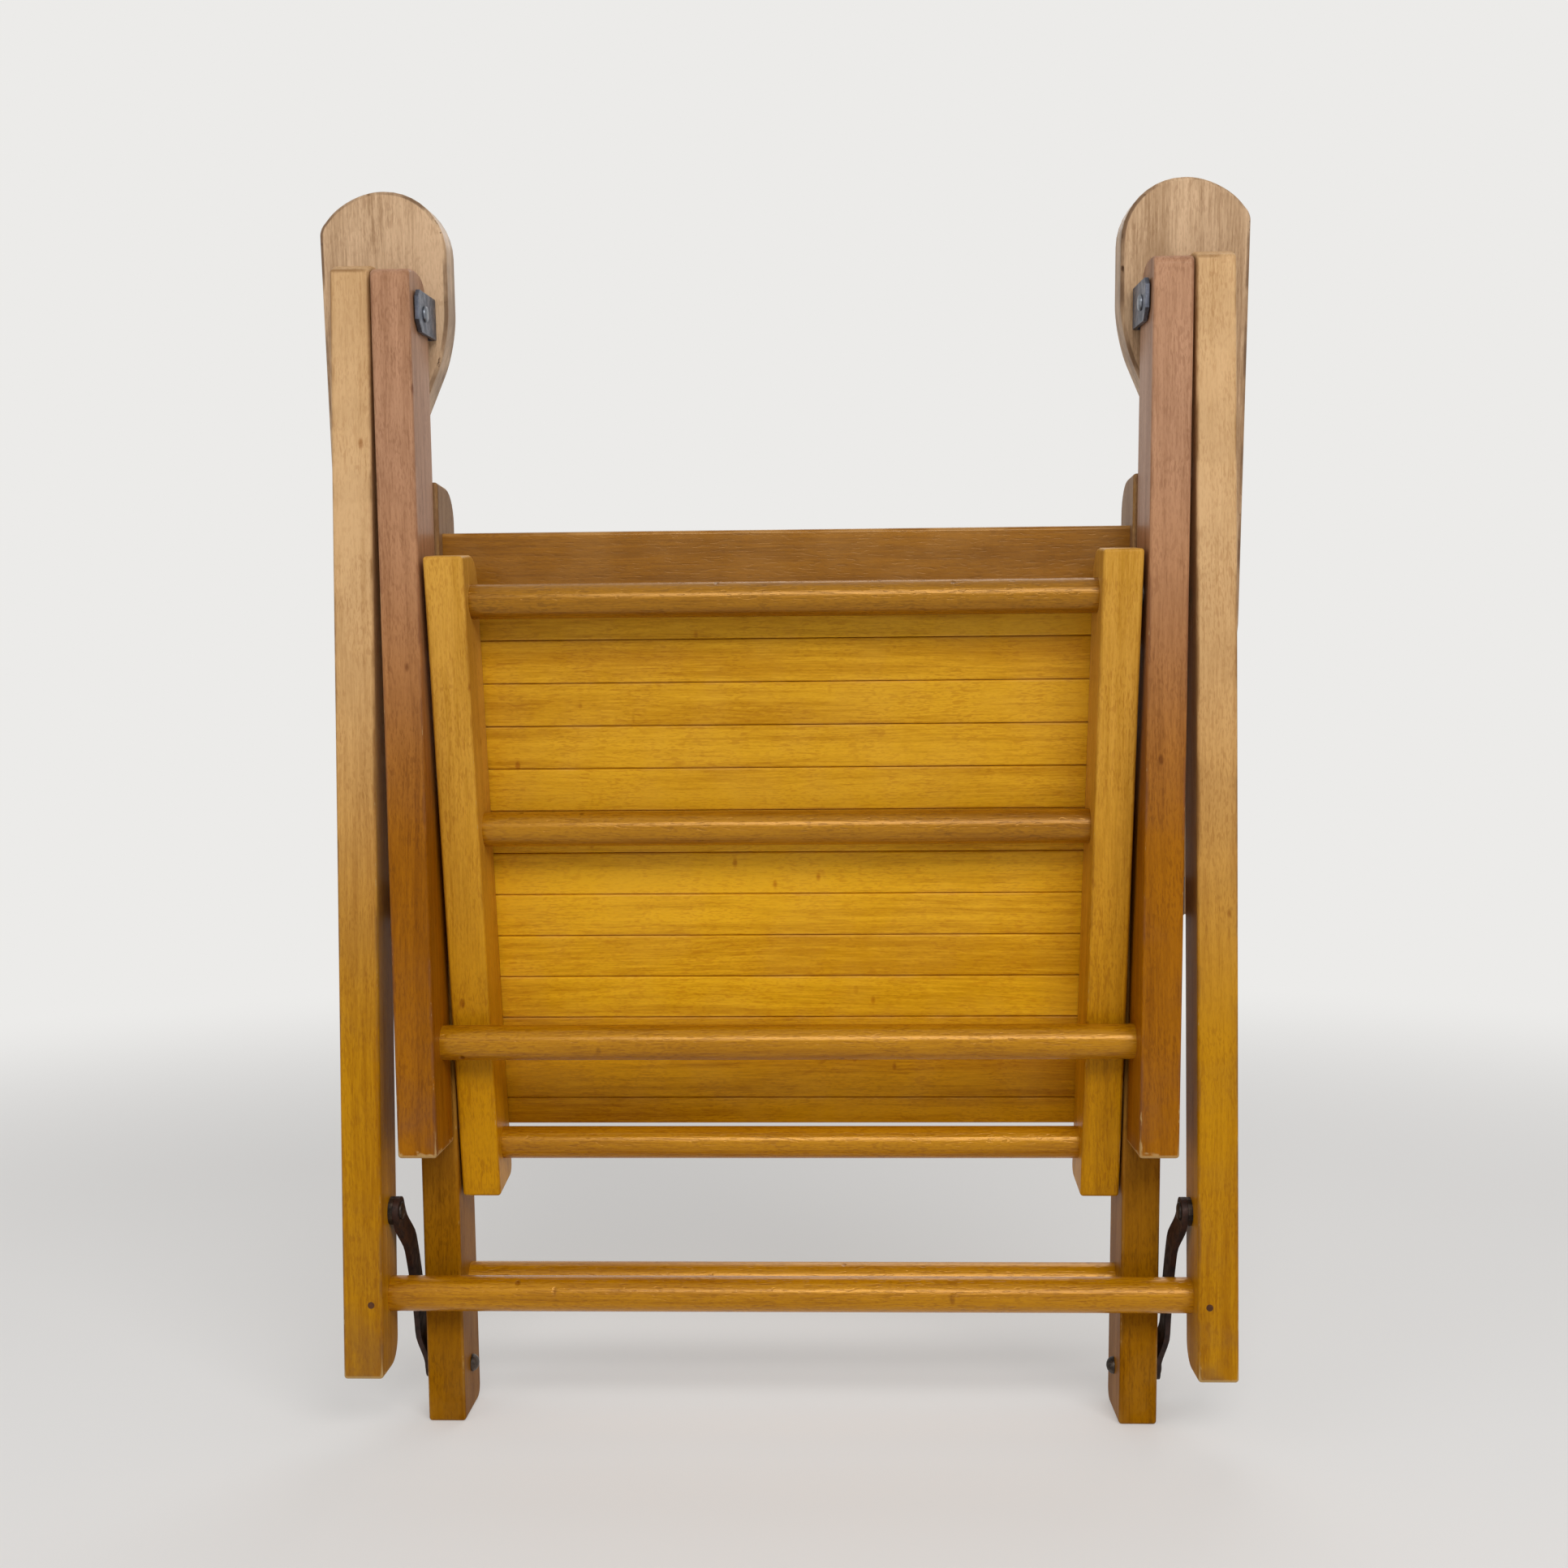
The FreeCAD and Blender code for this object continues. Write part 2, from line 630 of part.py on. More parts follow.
rung = cylinder_along_x("front_leg_rung", dim("front_rung_radius"), -front_rung_end,
                        front_rung_end, 0, 0)
settle(rung, main, dim("front_rung_back"), -dim("front_rung_drop"), -front_rung_end,
       FreeCAD.Rotation(FreeCAD.Vector(0, 1, 0), 90))
keep("front_leg_rung", rung)

# Seat: two rails, three dowels and a deck of slats on the rails' top faces
seat_outer = dim("seat_rail_outer")
seat_taper = dim("seat_rail_taper")
seat_width = dim("seat_rail_width")
seat_depth = dim("seat_rail_depth")
pin_reach = dim("pivot_pin_reach")


def seat_face(drop):
    """Return the seat rail's outer face at a distance behind the front seat pivot."""
    return seat_outer - seat_taper * drop


body = member("seat_rail", seat_outer, seat_taper, seat_width, dim("seat_rail_front"),
              dim("seat_rail_rear"), seat_depth,
              [("rear", dim("seat_end_round"), 1, False),
               ("front", dim("seat_front_round"), 1, True)])
stations = [
    ("front", dim("seat_dowel_radius"), Size(0)),
    ("middle", dim("seat_dowel_radius"), dim("seat_middle_dowel")),
    ("rear", dim("seat_rear_dowel_radius"), seat.span),
]
tools = []
for label, radius, drop in stations:
    end = seat_face(drop) - seat_width + housing
    tools.append(cylinder_along_x("seat_rail_%s_hole" % label, radius + glue,
                                  end - housing - past, end + glue, 0, -drop))
for label, drop in (("front", Size(0)), ("rear", seat.span)):
    face = seat_face(drop)
    tools.append(cylinder_along_x("seat_rail_%s_pivot" % label, pin_hole,
                                  face - pin_reach - gap, face + past, 0, -drop))
rail = cut("seat_rail", body, tools)
settle(rail, seat)
keep_sides("seat_rail", rail)
for label, radius, drop in stations:
    end = seat_face(drop) - seat_width + housing
    dowel = cylinder_along_x("seat_dowel_" + label, radius, -end, end, 0, 0)
    settle(dowel, seat, 0, -drop, -end, FreeCAD.Rotation(FreeCAD.Vector(0, 1, 0), 90))
    keep("seat_dowel_" + label, dowel)
slat_front = seat_depth / 2
slat_back = slat_front + dim("slat_thickness")
for i in range(NUMBER_OF_SLATS):
    start = dim("slat_start") + dim("slat_pitch") * i
    width = dim("slat_pitch") - dim("slat_gap")
    if i == NUMBER_OF_SLATS - 1:
        width = dim("last_slat_width")
    slat = bar("seat_slat_%02d" % (i + 1), slat_front, slat_back, -(start + width), -start,
               dim("slat_half_length"), dim("slat_ease"))
    settle(slat, seat)
    keep("seat_slat_%02d" % (i + 1), slat)

# Back: two posts, a top rail, a lower rail, upright slats and a rung at the lower end
post_outer = dim("back_post_outer")
post_taper = dim("back_post_taper")
post_width = dim("back_post_width")
post_depth = dim("back_post_depth")


def post_face(rise):
    """Return the back post's outer face at a height above the rear seat pivot."""
    return post_outer + post_taper * rise


top_high = dim("top_rail_rise")
top_low = top_high - dim("top_rail_height")
deck_back = (seat_depth / 2 + dim("slat_thickness")) / seat.cosine
deck_lean = (dim("seat_rise") - top_low) * dim("seat_offset") / dim("seat_rise")
top_front = deck_back + deck_lean + dim("top_rail_clearance") - dim("seat_offset")
top_back = top_front + dim("top_rail_thickness")
low_high = top_high - dim("back_panel_height")
low_low = low_high - dim("low_rail_height")
low_front = top_back + dim("back_slat_thickness")
low_back = low_front + dim("low_rail_thickness")
top_end = post_face(top_low) - post_width + housing
low_end = post_face(low_low) - post_width + housing
arm_z = dim("seat_pivot_drop") + dim("seat_rise") - dim("arm_reach")
arm_y = dim("arm_offset") - dim("seat_offset")
lower_z = dim("seat_pivot_drop") + dim("seat_rise") - dim("link_pivot_drop") - dim("link_drop")
lower_y = dim("link_pivot_back") + dim("link_offset") - dim("seat_offset")
insert = dim("insert_radius")
post_below = dim("pivot_height") - dim("seat_pivot_drop") - dim("seat_rise")
body = member("back_post", post_outer, post_taper, post_width, dim("back_post_above"),
              post_below, post_depth,
              [("top", dim("back_top_round"), 1, True),
               ("foot", dim("back_foot_round"), 1, False)])
back_rung_end = post_face(-dim("back_rung_drop")) - post_width + housing
post = cut("back_post", body, [
    cylinder_along_x("back_post_seat_hole", pin + glue, post_outer - post_width - past,
                     post_outer + past, 0, 0),
    cylinder_along_x("back_post_rung_hole", dim("back_rung_radius") + glue,
                     back_rung_end - housing - past, back_rung_end + glue,
                     dim("back_rung_back"), -dim("back_rung_drop")),
    cylinder_along_x("back_post_link_hole", rivet + glue, post_face(lower_z) - post_width - past,
                     post_face(lower_z) + past, lower_y, lower_z),
    cylinder_along_x("back_post_insert_hole", insert + glue,
                     post_face(arm_z) - dim("insert_sink") - dim("insert_length") - glue,
                     post_face(arm_z) + past, arm_y, arm_z, SLEEVE_SIDES),
    block("back_post_top_mortise", top_end - housing - past * 2, top_end + glue,
          top_front - glue, top_back + glue, top_low - glue, top_high + glue),
    block("back_post_low_mortise", low_end - housing - past * 2, low_end + glue,
          low_front - glue, low_back + glue, low_low - glue, low_high + glue),
])
settle(post, back)
keep_sides("back_post", post)
rail = bar("back_top_rail", top_front, top_back, top_low, top_high, top_end, dim("edge_ease"))
settle(rail, back)
keep("back_top_rail", rail)
rail = bar("back_lower_rail", low_front, low_back, low_low, low_high, low_end, dim("slat_ease"))
settle(rail, back)
keep("back_lower_rail", rail)
rung = cylinder_along_x("back_rung", dim("back_rung_radius"), -back_rung_end, back_rung_end,
                        0, 0)
settle(rung, back, dim("back_rung_back"), -dim("back_rung_drop"), -back_rung_end,
       FreeCAD.Rotation(FreeCAD.Vector(0, 1, 0), 90))
keep("back_rung", rung)
slat_top = top_high - dim("back_slat_under")
slat_low = low_low + dim("back_slat_foot")
half = dim("back_slat_width") / 2
for i in range(NUMBER_OF_BACK_SLATS):
    middle = dim("back_slat_pitch") * (i - (NUMBER_OF_BACK_SLATS - 1) / 2)
    name = "back_slat_%d" % (i + 1)
    body = doc.addObject("PartDesign::Body", name + "_body")
    face = outline(body, name + "_face", "YZ_Plane",
                   [(top_back, slat_low), (low_front, slat_low),
                    (low_front, slat_top), (top_back, slat_top)])
    last = pad(body, name + "_pad", face, half * 2)
    last = round_edges(body, name + "_ease", last, dim("slat_ease"), runs_along("z"), flat=True)
    body.Tip = last
    settle(body, back, 0, 0, middle)
    keep(name, body)

# Arms: boards on steel angle brackets
span = arms.span
under = dim("arm_clearance")
upper = under + dim("arm_thickness")
arm_rear = -(span + dim("arm_rear_overhang"))
corner_points = {
    "corner": (dim("arm_front_outer"), dim("arm_front_corner")),
    "nose": (dim("arm_nose_across"), dim("arm_nose_reach")),
    "inner": (dim("arm_inner"), dim("arm_nose_reach")),
    "neck_start": (dim("arm_inner"), -dim("arm_neck_start")),
    "neck_end": (dim("arm_neck_inner"), -dim("arm_neck_end")),
    "rear_inner": (dim("arm_neck_inner"), arm_rear),
    "rear_outer": (dim("arm_rear_outer"), arm_rear),
    "side": (dim("arm_mid_outer"), -dim("arm_mid_reach")),
}
rounds = {
    "corner": dim("arm_front_round"),
    "nose": dim("arm_nose_round"),
    "inner": dim("arm_inner_round"),
    "neck_start": dim("arm_neck_round"),
    "neck_end": dim("arm_neck_end_round"),
    "rear_inner": dim("arm_rear_round"),
    "rear_outer": dim("arm_rear_round"),
}
body = doc.addObject("PartDesign::Body", "arm_body")
plan = outline(body, "arm_plan", "XZ_Plane", list(corner_points.values()))
plan.AttachmentOffset = FreeCAD.Placement(
    FreeCAD.Vector(0, 0, -(under + dim("arm_thickness") / 2).value), FreeCAD.Rotation())
plan.setExpression(".AttachmentOffset.Base.z", "0 - " + (under + dim("arm_thickness") / 2).text)
last = pad(body, "arm_pad", plan, dim("arm_thickness"))
for label, radius in rounds.items():
    spot_x, spot_z = corner_points[label]
    chosen = near(runs_along("y"), x=spot_x.value, z=spot_z.value)
    last = round_edges(body, "arm_" + label, last, radius, chosen)


def on_board_face(edge, low=under.value, high=upper.value):
    """Tell whether an edge lies in the top or the underside of the board."""
    box = edge.BoundBox
    flat = box.YLength < FLAT_TOLERANCE
    return flat and min(abs(box.YMin - low), abs(box.YMin - high)) < FLAT_TOLERANCE


last = round_edges(body, "arm_edge", last, dim("arm_edge_bevel"), on_board_face, flat=True)
body.Tip = last

front_face_x = dim("front_plate_face")
rear_face_x = dim("rear_plate_face")
front_plate = dim("front_plate_thickness")
rear_plate = dim("rear_plate_thickness")
plate_half = dim("plate_half_length")
spread = dim("screw_spread")
front_screw_x = front_face_x + dim("front_screw_inset")
rear_screw_x = rear_face_x + dim("rear_screw_inset")
screw_spots = [
    ("front_a", front_screw_x, spread, front_plate),
    ("front_b", front_screw_x, -spread, front_plate),
    ("rear_a", rear_screw_x, -span + spread, rear_plate),
    ("rear_b", rear_screw_x, -span - spread, rear_plate),
]
board = cut("arm", body, [
    cylinder_along_y("arm_screw_hole_" + label, dim("screw_radius") + glue, under - past,
                     under + dim("screw_length") + glue, x, z, SCREW_SIDES)
    for label, x, z, plate in screw_spots
])
settle(board, arms)
keep_sides("arm", board)


def angle_bracket(name, face, plate, low, along, reach):
    """Return an angle bracket: a plate with a cut corner and a flange under the arm."""
    body = doc.addObject("PartDesign::Body", name + "_body")
    chamfer = dim("plate_chamfer")
    small = dim("plate_small_chamfer")
    tip = -low
    side = outline(body, name + "_side", "YZ_Plane", [
        (tip, along + plate_half - small), (tip + small, along + plate_half),
        (under, along + plate_half), (under, along - plate_half),
        (tip + chamfer, along - plate_half), (tip, along - plate_half + chamfer)])
    side.AttachmentOffset = FreeCAD.Placement(
        FreeCAD.Vector(0, 0, (face - plate / 2).value), FreeCAD.Rotation())
    side.setExpression(".AttachmentOffset.Base.z", (face - plate / 2).text)
    last = pad(body, name + "_plate", side, plate)
    body.Tip = last
    flange = block(name + "_flange", face - plate, face + reach, under - plate, under,
                   along - plate_half, along + plate_half)
    return fuse(name + "_angle", [body, flange])


brackets = [
    ("front", front_face_x, front_plate, dim("front_plate_low"), Size(0),
     dim("front_flange_reach")),
    ("rear", rear_face_x, rear_plate, dim("rear_plate_low"), -span, dim("rear_flange_reach")),
]
for label, face, plate, low, along, reach in brackets:
    name = "arm_bracket_" + label
    solid = angle_bracket(name, face, plate, low, along, reach)
    tools = [cylinder_along_x(name + "_pivot", pin_hole, face - plate - past, face + past,
                              0, along)]
    for tag, x, z, thickness in screw_spots:
        if tag.startswith(label):
            tools.append(cylinder_along_y(name + "_screw_" + tag, dim("screw_radius") + glue,
                                          under - plate - past, under + past, x, z,
                                          SCREW_SIDES))
    bracket = cut(name, solid, tools)
    settle(bracket, arms)
    keep_sides(name, bracket)

screws = []
for label, x, z, plate in screw_spots:
    head = cylinder_along_y("screw_head_" + label, dim("screw_head_radius"),
                            under - plate - dim("screw_head_height"), under - plate, x, z,
                            SCREW_SIDES)
    shank = cylinder_along_y("screw_shank_" + label, dim("screw_radius"),
                             under - plate - dim("screw_head_height") / 2,
                             under + dim("screw_length"), x, z, SCREW_SIDES)
    screw = fuse("bracket_screw_" + label, [head, shank])
    settle(screw, arms)
    screws.append(screw)
    screws.append(mirrored(screw, "bracket_screw_%s_left" % label))
keep("bracket_screws", group("bracket_screws", screws))

# Main pivot bolts, held in the front legs, with a nut inside each bracket
head = dim("pivot_head_radius")
head_height = dim("pivot_head_height")
nut_face = front_face_x - front_plate - gap
nut = dim("pivot_nut_radius")
crown = dim("head_crown")
head_face = rear_outer + gap
bolt = turned("main_pivot_bolt", [
    (nut_face - dim("pivot_nut_height"), nut - crown), (nut_face, nut), (nut_face, pin),
    (head_face, pin), (head_face, head), (head_face + head_height, head - crown)])
settle(bolt, main)
keep("main_pivot_bolts", pair(bolt, "main_pivot_bolts"))


def washer(name, low, high, bore, frame, y, z):
    """Return a flat washer between two faces."""
    disc = cylinder_along_x(name + "_disc", dim("washer_radius"), low, high, 0, 0, WASHER_SIDES)
    hole = cylinder_along_x(name + "_bore", bore * BORE_GROWTH, low - past, high + past, 0, 0,
                            WASHER_SIDES)
    ring = cut(name, disc, [hole])
    settle(ring, frame, y, z)
    return ring


leg_washer = washer("leg_washer", front_outer + gap * 1.5, rear_inner - gap, pin + glue,
                    main, 0, 0)
keep("leg_washers", pair(leg_washer, "leg_washers"))

# Front seat pivots, held in the front legs and turning in the seat rails
seat_bolt_face = front_face(seat_drop) + gap * 2
seat_bolt = turned("seat_front_pivot", [
    (seat_outer - pin_reach, pin), (seat_bolt_face, pin), (seat_bolt_face, head),
    (seat_bolt_face + head_height, head - crown)])
settle(seat_bolt, main, 0, -seat_drop)
keep("seat_front_pivots", pair(seat_bolt, "seat_front_pivots"))
seat_washer = washer("seat_washer", seat_outer + gap * 2,
                     front_face(seat_drop) - front_width - gap * 1.5,
                     pin + glue, main, 0, -seat_drop)
keep("seat_washers", pair(seat_washer, "seat_washers"))

# Rear seat pivots, held in the back posts and turning in the seat rails
rear_bolt_face = post_outer + gap * 1.5
rear_bolt = turned("seat_rear_pivot", [
    (seat_face(seat.span) - pin_reach, pin), (rear_bolt_face, pin), (rear_bolt_face, head),
    (rear_bolt_face + head_height, head - crown)])
settle(rear_bolt, back)
keep("seat_rear_pivots", pair(rear_bolt, "seat_rear_pivots"))

# Rear arm pivots: a bolt stub in the bracket and a threaded insert in the back post
stub = turned("arm_rear_bolt", [
    (rear_face_x - rear_plate, pin), (rear_face_x + glue, pin), (rear_face_x + glue, head),
    (rear_face_x + head_height, head - crown)])
settle(stub, arms, 0, -span)
keep("arm_rear_bolts", pair(stub, "arm_rear_bolts"))
insert_face = post_face(arm_z) - dim("insert_sink")
sleeve = cylinder_along_x("back_insert", insert, insert_face - dim("insert_length"),
                          insert_face, 0, 0, SLEEVE_SIDES)
settle(sleeve, back, arm_y, arm_z, insert_face - dim("insert_length"),
       FreeCAD.Rotation(FreeCAD.Vector(0, 1, 0), 90))
keep("back_inserts", pair(sleeve, "back_inserts"))

# Steel links: bowed straps from the rear legs to the back posts
link_span = links.span
half_link = dim("link_half_width")
strap = dim("link_thickness")
upper_out = dim("link_upper_outer")
lower_out = dim("link_lower_outer")
bow = dim("link_bow")
third = link_span / 3
body = doc.addObject("PartDesign::Body", "link_side_body")
side = outline(body, "link_side", "YZ_Plane", [
    (-half_link, 0), (bow - half_link, -third), (bow - half_link, -third * 2),
    (-half_link, -link_span), (half_link, -link_span), (bow + half_link, -third * 2),
    (bow + half_link, -third), (half_link, 0)])
middle_x = (upper_out + lower_out) / 2
side.AttachmentOffset = FreeCAD.Placement(
    FreeCAD.Vector(0, 0, middle_x.value), FreeCAD.Rotation())
side.setExpression(".AttachmentOffset.Base.z", middle_x.text)
last = pad(body, "link_side_pad", side, dim("link_sweep"))


def bow_corner(edge, low=-third.value * 2, high=-third.value):
    """Tell whether an edge is a bend of the bowed strap."""
    if not runs_along("x")(edge):
        return False
    z = edge.BoundBox.Center.z
    return min(abs(z - low), abs(z - high)) < EDGE_TOLERANCE


last = round_edges(body, "link_side_round", last, dim("link_bend_round"), bow_corner)
body.Tip = last
eye_start = middle_x - dim("link_sweep") / 2
eye_end = middle_x + dim("link_sweep") / 2
eye_top = cylinder_along_x("link_eye_top", half_link, eye_start, eye_end, 0, 0)
eye_low = cylinder_along_x("link_eye_low", half_link, eye_start, eye_end, 0, -link_span)
side_shape = fuse("link_outline", [body, eye_top, eye_low])
straight = dim("link_bend_length")
low_straight = dim("link_low_length")
beyond = half_link * 2
body = doc.addObject("PartDesign::Body", "link_band_body")
band = outline(body, "link_band", "XZ_Plane", [
    (upper_out, beyond), (upper_out, -straight), (lower_out, -link_span + low_straight),
    (lower_out, -link_span - beyond), (lower_out - strap, -link_span - beyond),
    (lower_out - strap, -link_span + low_straight), (upper_out - strap, -straight),
    (upper_out - strap, beyond)])
last = pad(body, "link_band_pad", band, dim("link_sweep"))


def band_bend(edge, low=(-link_span + low_straight).value, high=-straight.value):
    """Tell whether an edge is a sideways bend of the strap."""
    if not runs_along("y")(edge):
        return False
    z = edge.BoundBox.Center.z
    return min(abs(z - low), abs(z - high)) < EDGE_TOLERANCE


last = round_edges(body, "link_band_round", last, dim("link_bend_round"), band_bend)
body.Tip = last
blank = doc.addObject("Part::MultiCommon", "link_blank")
blank.Shapes = [side_shape, body]
link = cut("link", blank, [
    cylinder_along_x("link_top_hole", rivet + dim("running_gap"), upper_out - strap - past,
                     upper_out + past, 0, 0),
    cylinder_along_x("link_low_hole", rivet + glue, lower_out - strap - past, lower_out + past, 0,
                     -link_span),
])
settle(link, links)
keep_sides("link", link)

# Rivets of the links
upper_in = upper_out - strap
rivet_head = dim("rivet_head_radius")
rivet_height = dim("rivet_head_height")
top_rivet = turned("link_top_rivet", [
    (upper_in - gap - rivet_height, rivet_head - crown), (upper_in - gap, rivet_head),
    (upper_in - gap, rivet), (rear_inner + rivet_depth, rivet)])
settle(top_rivet, main, link_y, link_z)
keep("link_top_rivets", pair(top_rivet, "link_top_rivets"))
spacer = washer("link_spacer", upper_out + gap, rear_inner - dim("spacer_gap"), rivet + glue, main,
                link_y, link_z)
keep("link_spacers", pair(spacer, "link_spacers"))
low_rivet = turned("link_low_rivet", [
    (lower_out - strap, rivet), (lower_out + glue, rivet), (lower_out + glue, rivet_head),
    (lower_out + rivet_height, rivet_head - crown)])
settle(low_rivet, links, 0, -link_span)
keep("link_low_rivets", pair(low_rivet, "link_low_rivets"))
dome_face = post_face(lower_z) - post_width - gap
dome = dim("dome_height")
dome_bolt = turned("link_dome_bolt", [
    (dome_face - dome, rivet_head * DOME_CROWN_SHARE),
    (dome_face - dome * DOME_RING_HEIGHT, rivet_head * DOME_RING_SHARE),
    (dome_face, rivet_head), (dome_face, rivet), (post_face(lower_z) - gap, rivet)])
settle(dome_bolt, back, lower_y, lower_z)
keep("link_dome_bolts", pair(dome_bolt, "link_dome_bolts"))

doc.recompute()
problems = []
for obj in doc.Objects:
    if "Invalid" in obj.State or "Error" in obj.State:
        problems.append("%s %s" % (obj.Label, obj.State))
for name, obj in nodes.items():
    if obj.Shape.isNull() or not obj.Shape.isValid() or not obj.Shape.Solids:
        problems.append("%s has no valid shape" % name)
if problems:
    raise RuntimeError("; ".join(problems))

os.makedirs("parts", exist_ok=True)
for name, obj in nodes.items():
    obj.Shape.exportStep("parts/%s.step" % name)
print("%d nodes written" % len(nodes))
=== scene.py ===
import logging
import math
from dataclasses import dataclass, replace
from enum import Enum
from typing import Callable, Sequence

import bmesh
import bpy
from mathutils import Matrix, Vector


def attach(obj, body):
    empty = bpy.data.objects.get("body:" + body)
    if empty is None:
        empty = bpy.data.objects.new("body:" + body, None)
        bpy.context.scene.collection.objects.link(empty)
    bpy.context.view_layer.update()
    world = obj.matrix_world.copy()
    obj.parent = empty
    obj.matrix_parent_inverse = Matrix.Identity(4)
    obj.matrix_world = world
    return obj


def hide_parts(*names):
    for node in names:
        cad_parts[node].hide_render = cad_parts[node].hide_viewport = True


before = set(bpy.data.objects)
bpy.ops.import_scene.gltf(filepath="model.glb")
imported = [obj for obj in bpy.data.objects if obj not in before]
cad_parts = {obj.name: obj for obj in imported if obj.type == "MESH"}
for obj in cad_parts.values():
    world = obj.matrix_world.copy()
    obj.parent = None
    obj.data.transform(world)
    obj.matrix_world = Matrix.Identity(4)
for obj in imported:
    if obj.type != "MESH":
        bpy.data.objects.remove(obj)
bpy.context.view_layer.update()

LOG = logging.getLogger("armchair")
MM = 0.001
# Wear on an edge before it is held at 1, and its reach in radii of the edge
EDGE_WEAR = 1.25
EDGE_REACH = 0.9

Socket = bpy.types.NodeSocket
Tree = bpy.types.NodeTree
Material = bpy.types.Material
Piece = bpy.types.Object
Shape = bmesh.types.BMesh
Colour = tuple[float, float, float, float]
Wear = Callable[[Vector], float]
Stations = list[tuple[float, float]]


# Colour and node helpers


def srgb(red: int, green: int, blue: int) -> Colour:
    """Turn a display colour into a linear colour.

    Args:
        red: Red from 0 to 255.
        green: Green from 0 to 255.
        blue: Blue from 0 to 255.

    Returns:
        The linear colour with full alpha.
    """
    def channel(value: int) -> float:
        """Turn one display channel into a linear one."""
        share = value / 255.0
        if share <= 0.04045:
            return share / 12.92
        return ((share + 0.055) / 1.055) ** 2.4

    return channel(red), channel(green), channel(blue), 1.0


class Wiring:
    """Adds and joins nodes of one tree in few words."""

    def __init__(self, tree: Tree) -> None:
        """Keep the tree that is wired."""
        self.tree = tree

    def feed(self, target: Socket, value: object) -> None:
        """Link a socket to an input, or set the input to a constant."""
        if isinstance(value, bpy.types.NodeSocket):
            self.tree.links.new(value, target)
        else:
            target.default_value = value

    def node(self, kind: str, inputs: dict | None = None, **settings: object
             ) -> bpy.types.Node:
        """Add a node, set its properties and feed its inputs.

        Args:
            kind: The node's type name.
            inputs: A socket or a constant for each input, by its name or number.
            **settings: Property names and values.

        Returns:
            The new node.
        """
        made = self.tree.nodes.new(kind)
        for name, value in settings.items():
            setattr(made, name, value)
        for key, value in (inputs or {}).items():
            self.feed(made.inputs[key], value)
        return made

    def place(self) -> Socket:
        """Return the object coordinates."""
        return self.node("ShaderNodeTexCoord").outputs["Object"]

    def attribute(self, name: str, output: str) -> Socket:
        """Return one of the piece's own attributes."""
        return self.node("ShaderNodeAttribute", attribute_name=name).outputs[output]

    def math(self, operation: str, first: object, second: object = 0.0,
             clamp: bool = False) -> Socket:
        """Add a Math node.

        Args:
            operation: The operation's name.
            first: A socket or a number.
            second: A socket or a number.
            clamp: Whether the result is held between 0 and 1.

        Returns:
            The node's output.
        """
        return self.node("ShaderNodeMath", {0: first, 1: second}, operation=operation,
                         use_clamp=clamp).outputs[0]

    def times(self, first: object, second: object, clamp: bool = False) -> Socket:
        """Multiply two sockets or numbers."""
        return self.math("MULTIPLY", first, second, clamp)

    def stretch(self, vector: Socket, factors: tuple[float, float, float]) -> Socket:
        """Multiply a vector by three constants."""
        return self.node("ShaderNodeVectorMath", {0: vector, 1: factors},
                         operation="MULTIPLY").outputs[0]

    def noise(self, vector: Socket, scale: object, detail: float = 3.0, along: float = 1.0,
              distortion: float = 0.0, output: str = "Fac") -> Socket:
        """Add a noise pattern.

        Args:
            vector: Where it is read.
            scale: How fine it is.
            detail: How many finer layers it holds.
            along: Below 1, how much it is drawn out along Z.
            distortion: How much it is twisted.
            output: The name of the output.

        Returns:
            The pattern.
        """
        if along != 1.0:
            vector = self.stretch(vector, (1.0, 1.0, along))
        made = self.node("ShaderNodeTexNoise", {
            "Vector": vector, "Scale": scale, "Detail": detail, "Distortion": distortion})
        return made.outputs[output]

    def window(self, value: Socket, low: float, high: float, to_low: float = 0.0,
               to_high: float = 1.0) -> Socket:
        """Map a value smoothly from one range to another and hold it there.

        Args:
            value: The value to map.
            low: Start of its range.
            high: End of its range.
            to_low: Result at the start.
            to_high: Result at the end.

        Returns:
            The mapped value.
        """
        made = self.node("ShaderNodeMapRange", {
            "Value": value, "From Min": low, "From Max": high, "To Min": to_low,
            "To Max": to_high}, interpolation_type="SMOOTHSTEP")
        return made.outputs["Result"]

    def blend(self, factor: object, first: object, second: object,
              mode: str = "MIX") -> Socket:
        """Mix two colours and return the result."""
        return self.node("ShaderNodeMix", {0: factor, 6: first, 7: second},
                         data_type="RGBA", blend_type=mode).outputs[2]

    def mix_shaders(self, factor: Socket, first: Socket, second: Socket) -> Socket:
        """Mix two shaders and return the result."""
        return self.node("ShaderNodeMixShader", {0: factor, 1: first, 2: second}).outputs[0]

    def surface(self, inputs: dict, relief: Socket, strength: float, depth: float) -> None:
        """Add the Principled shader, its relief and the material's output.

        Args:
            inputs: The shader's inputs by name.
            relief: The height of the surface.
            strength: How strong the relief is.
            depth: How deep it is, in metres.
        """
        bump = self.node("ShaderNodeBump", {
            "Strength": strength, "Distance": depth, "Height": relief})
        shader = self.node("ShaderNodeBsdfPrincipled",
                           {**inputs, "Normal": bump.outputs["Normal"]})
        self.node("ShaderNodeOutputMaterial", {"Surface": shader.outputs[0]})


def new_material(name: str) -> tuple[Material, Wiring]:
    """Return a new material without nodes, and its wiring."""
    material = bpy.data.materials.new(name)
    material.use_nodes = True
    material.node_tree.nodes.clear()
    return material, Wiring(material.node_tree)


def new_object(name: str, data: bpy.types.ID) -> Piece:
    """Return a new object that is linked to the scene."""
    made = bpy.data.objects.new(name, data)
    bpy.context.scene.collection.objects.link(made)
    return made


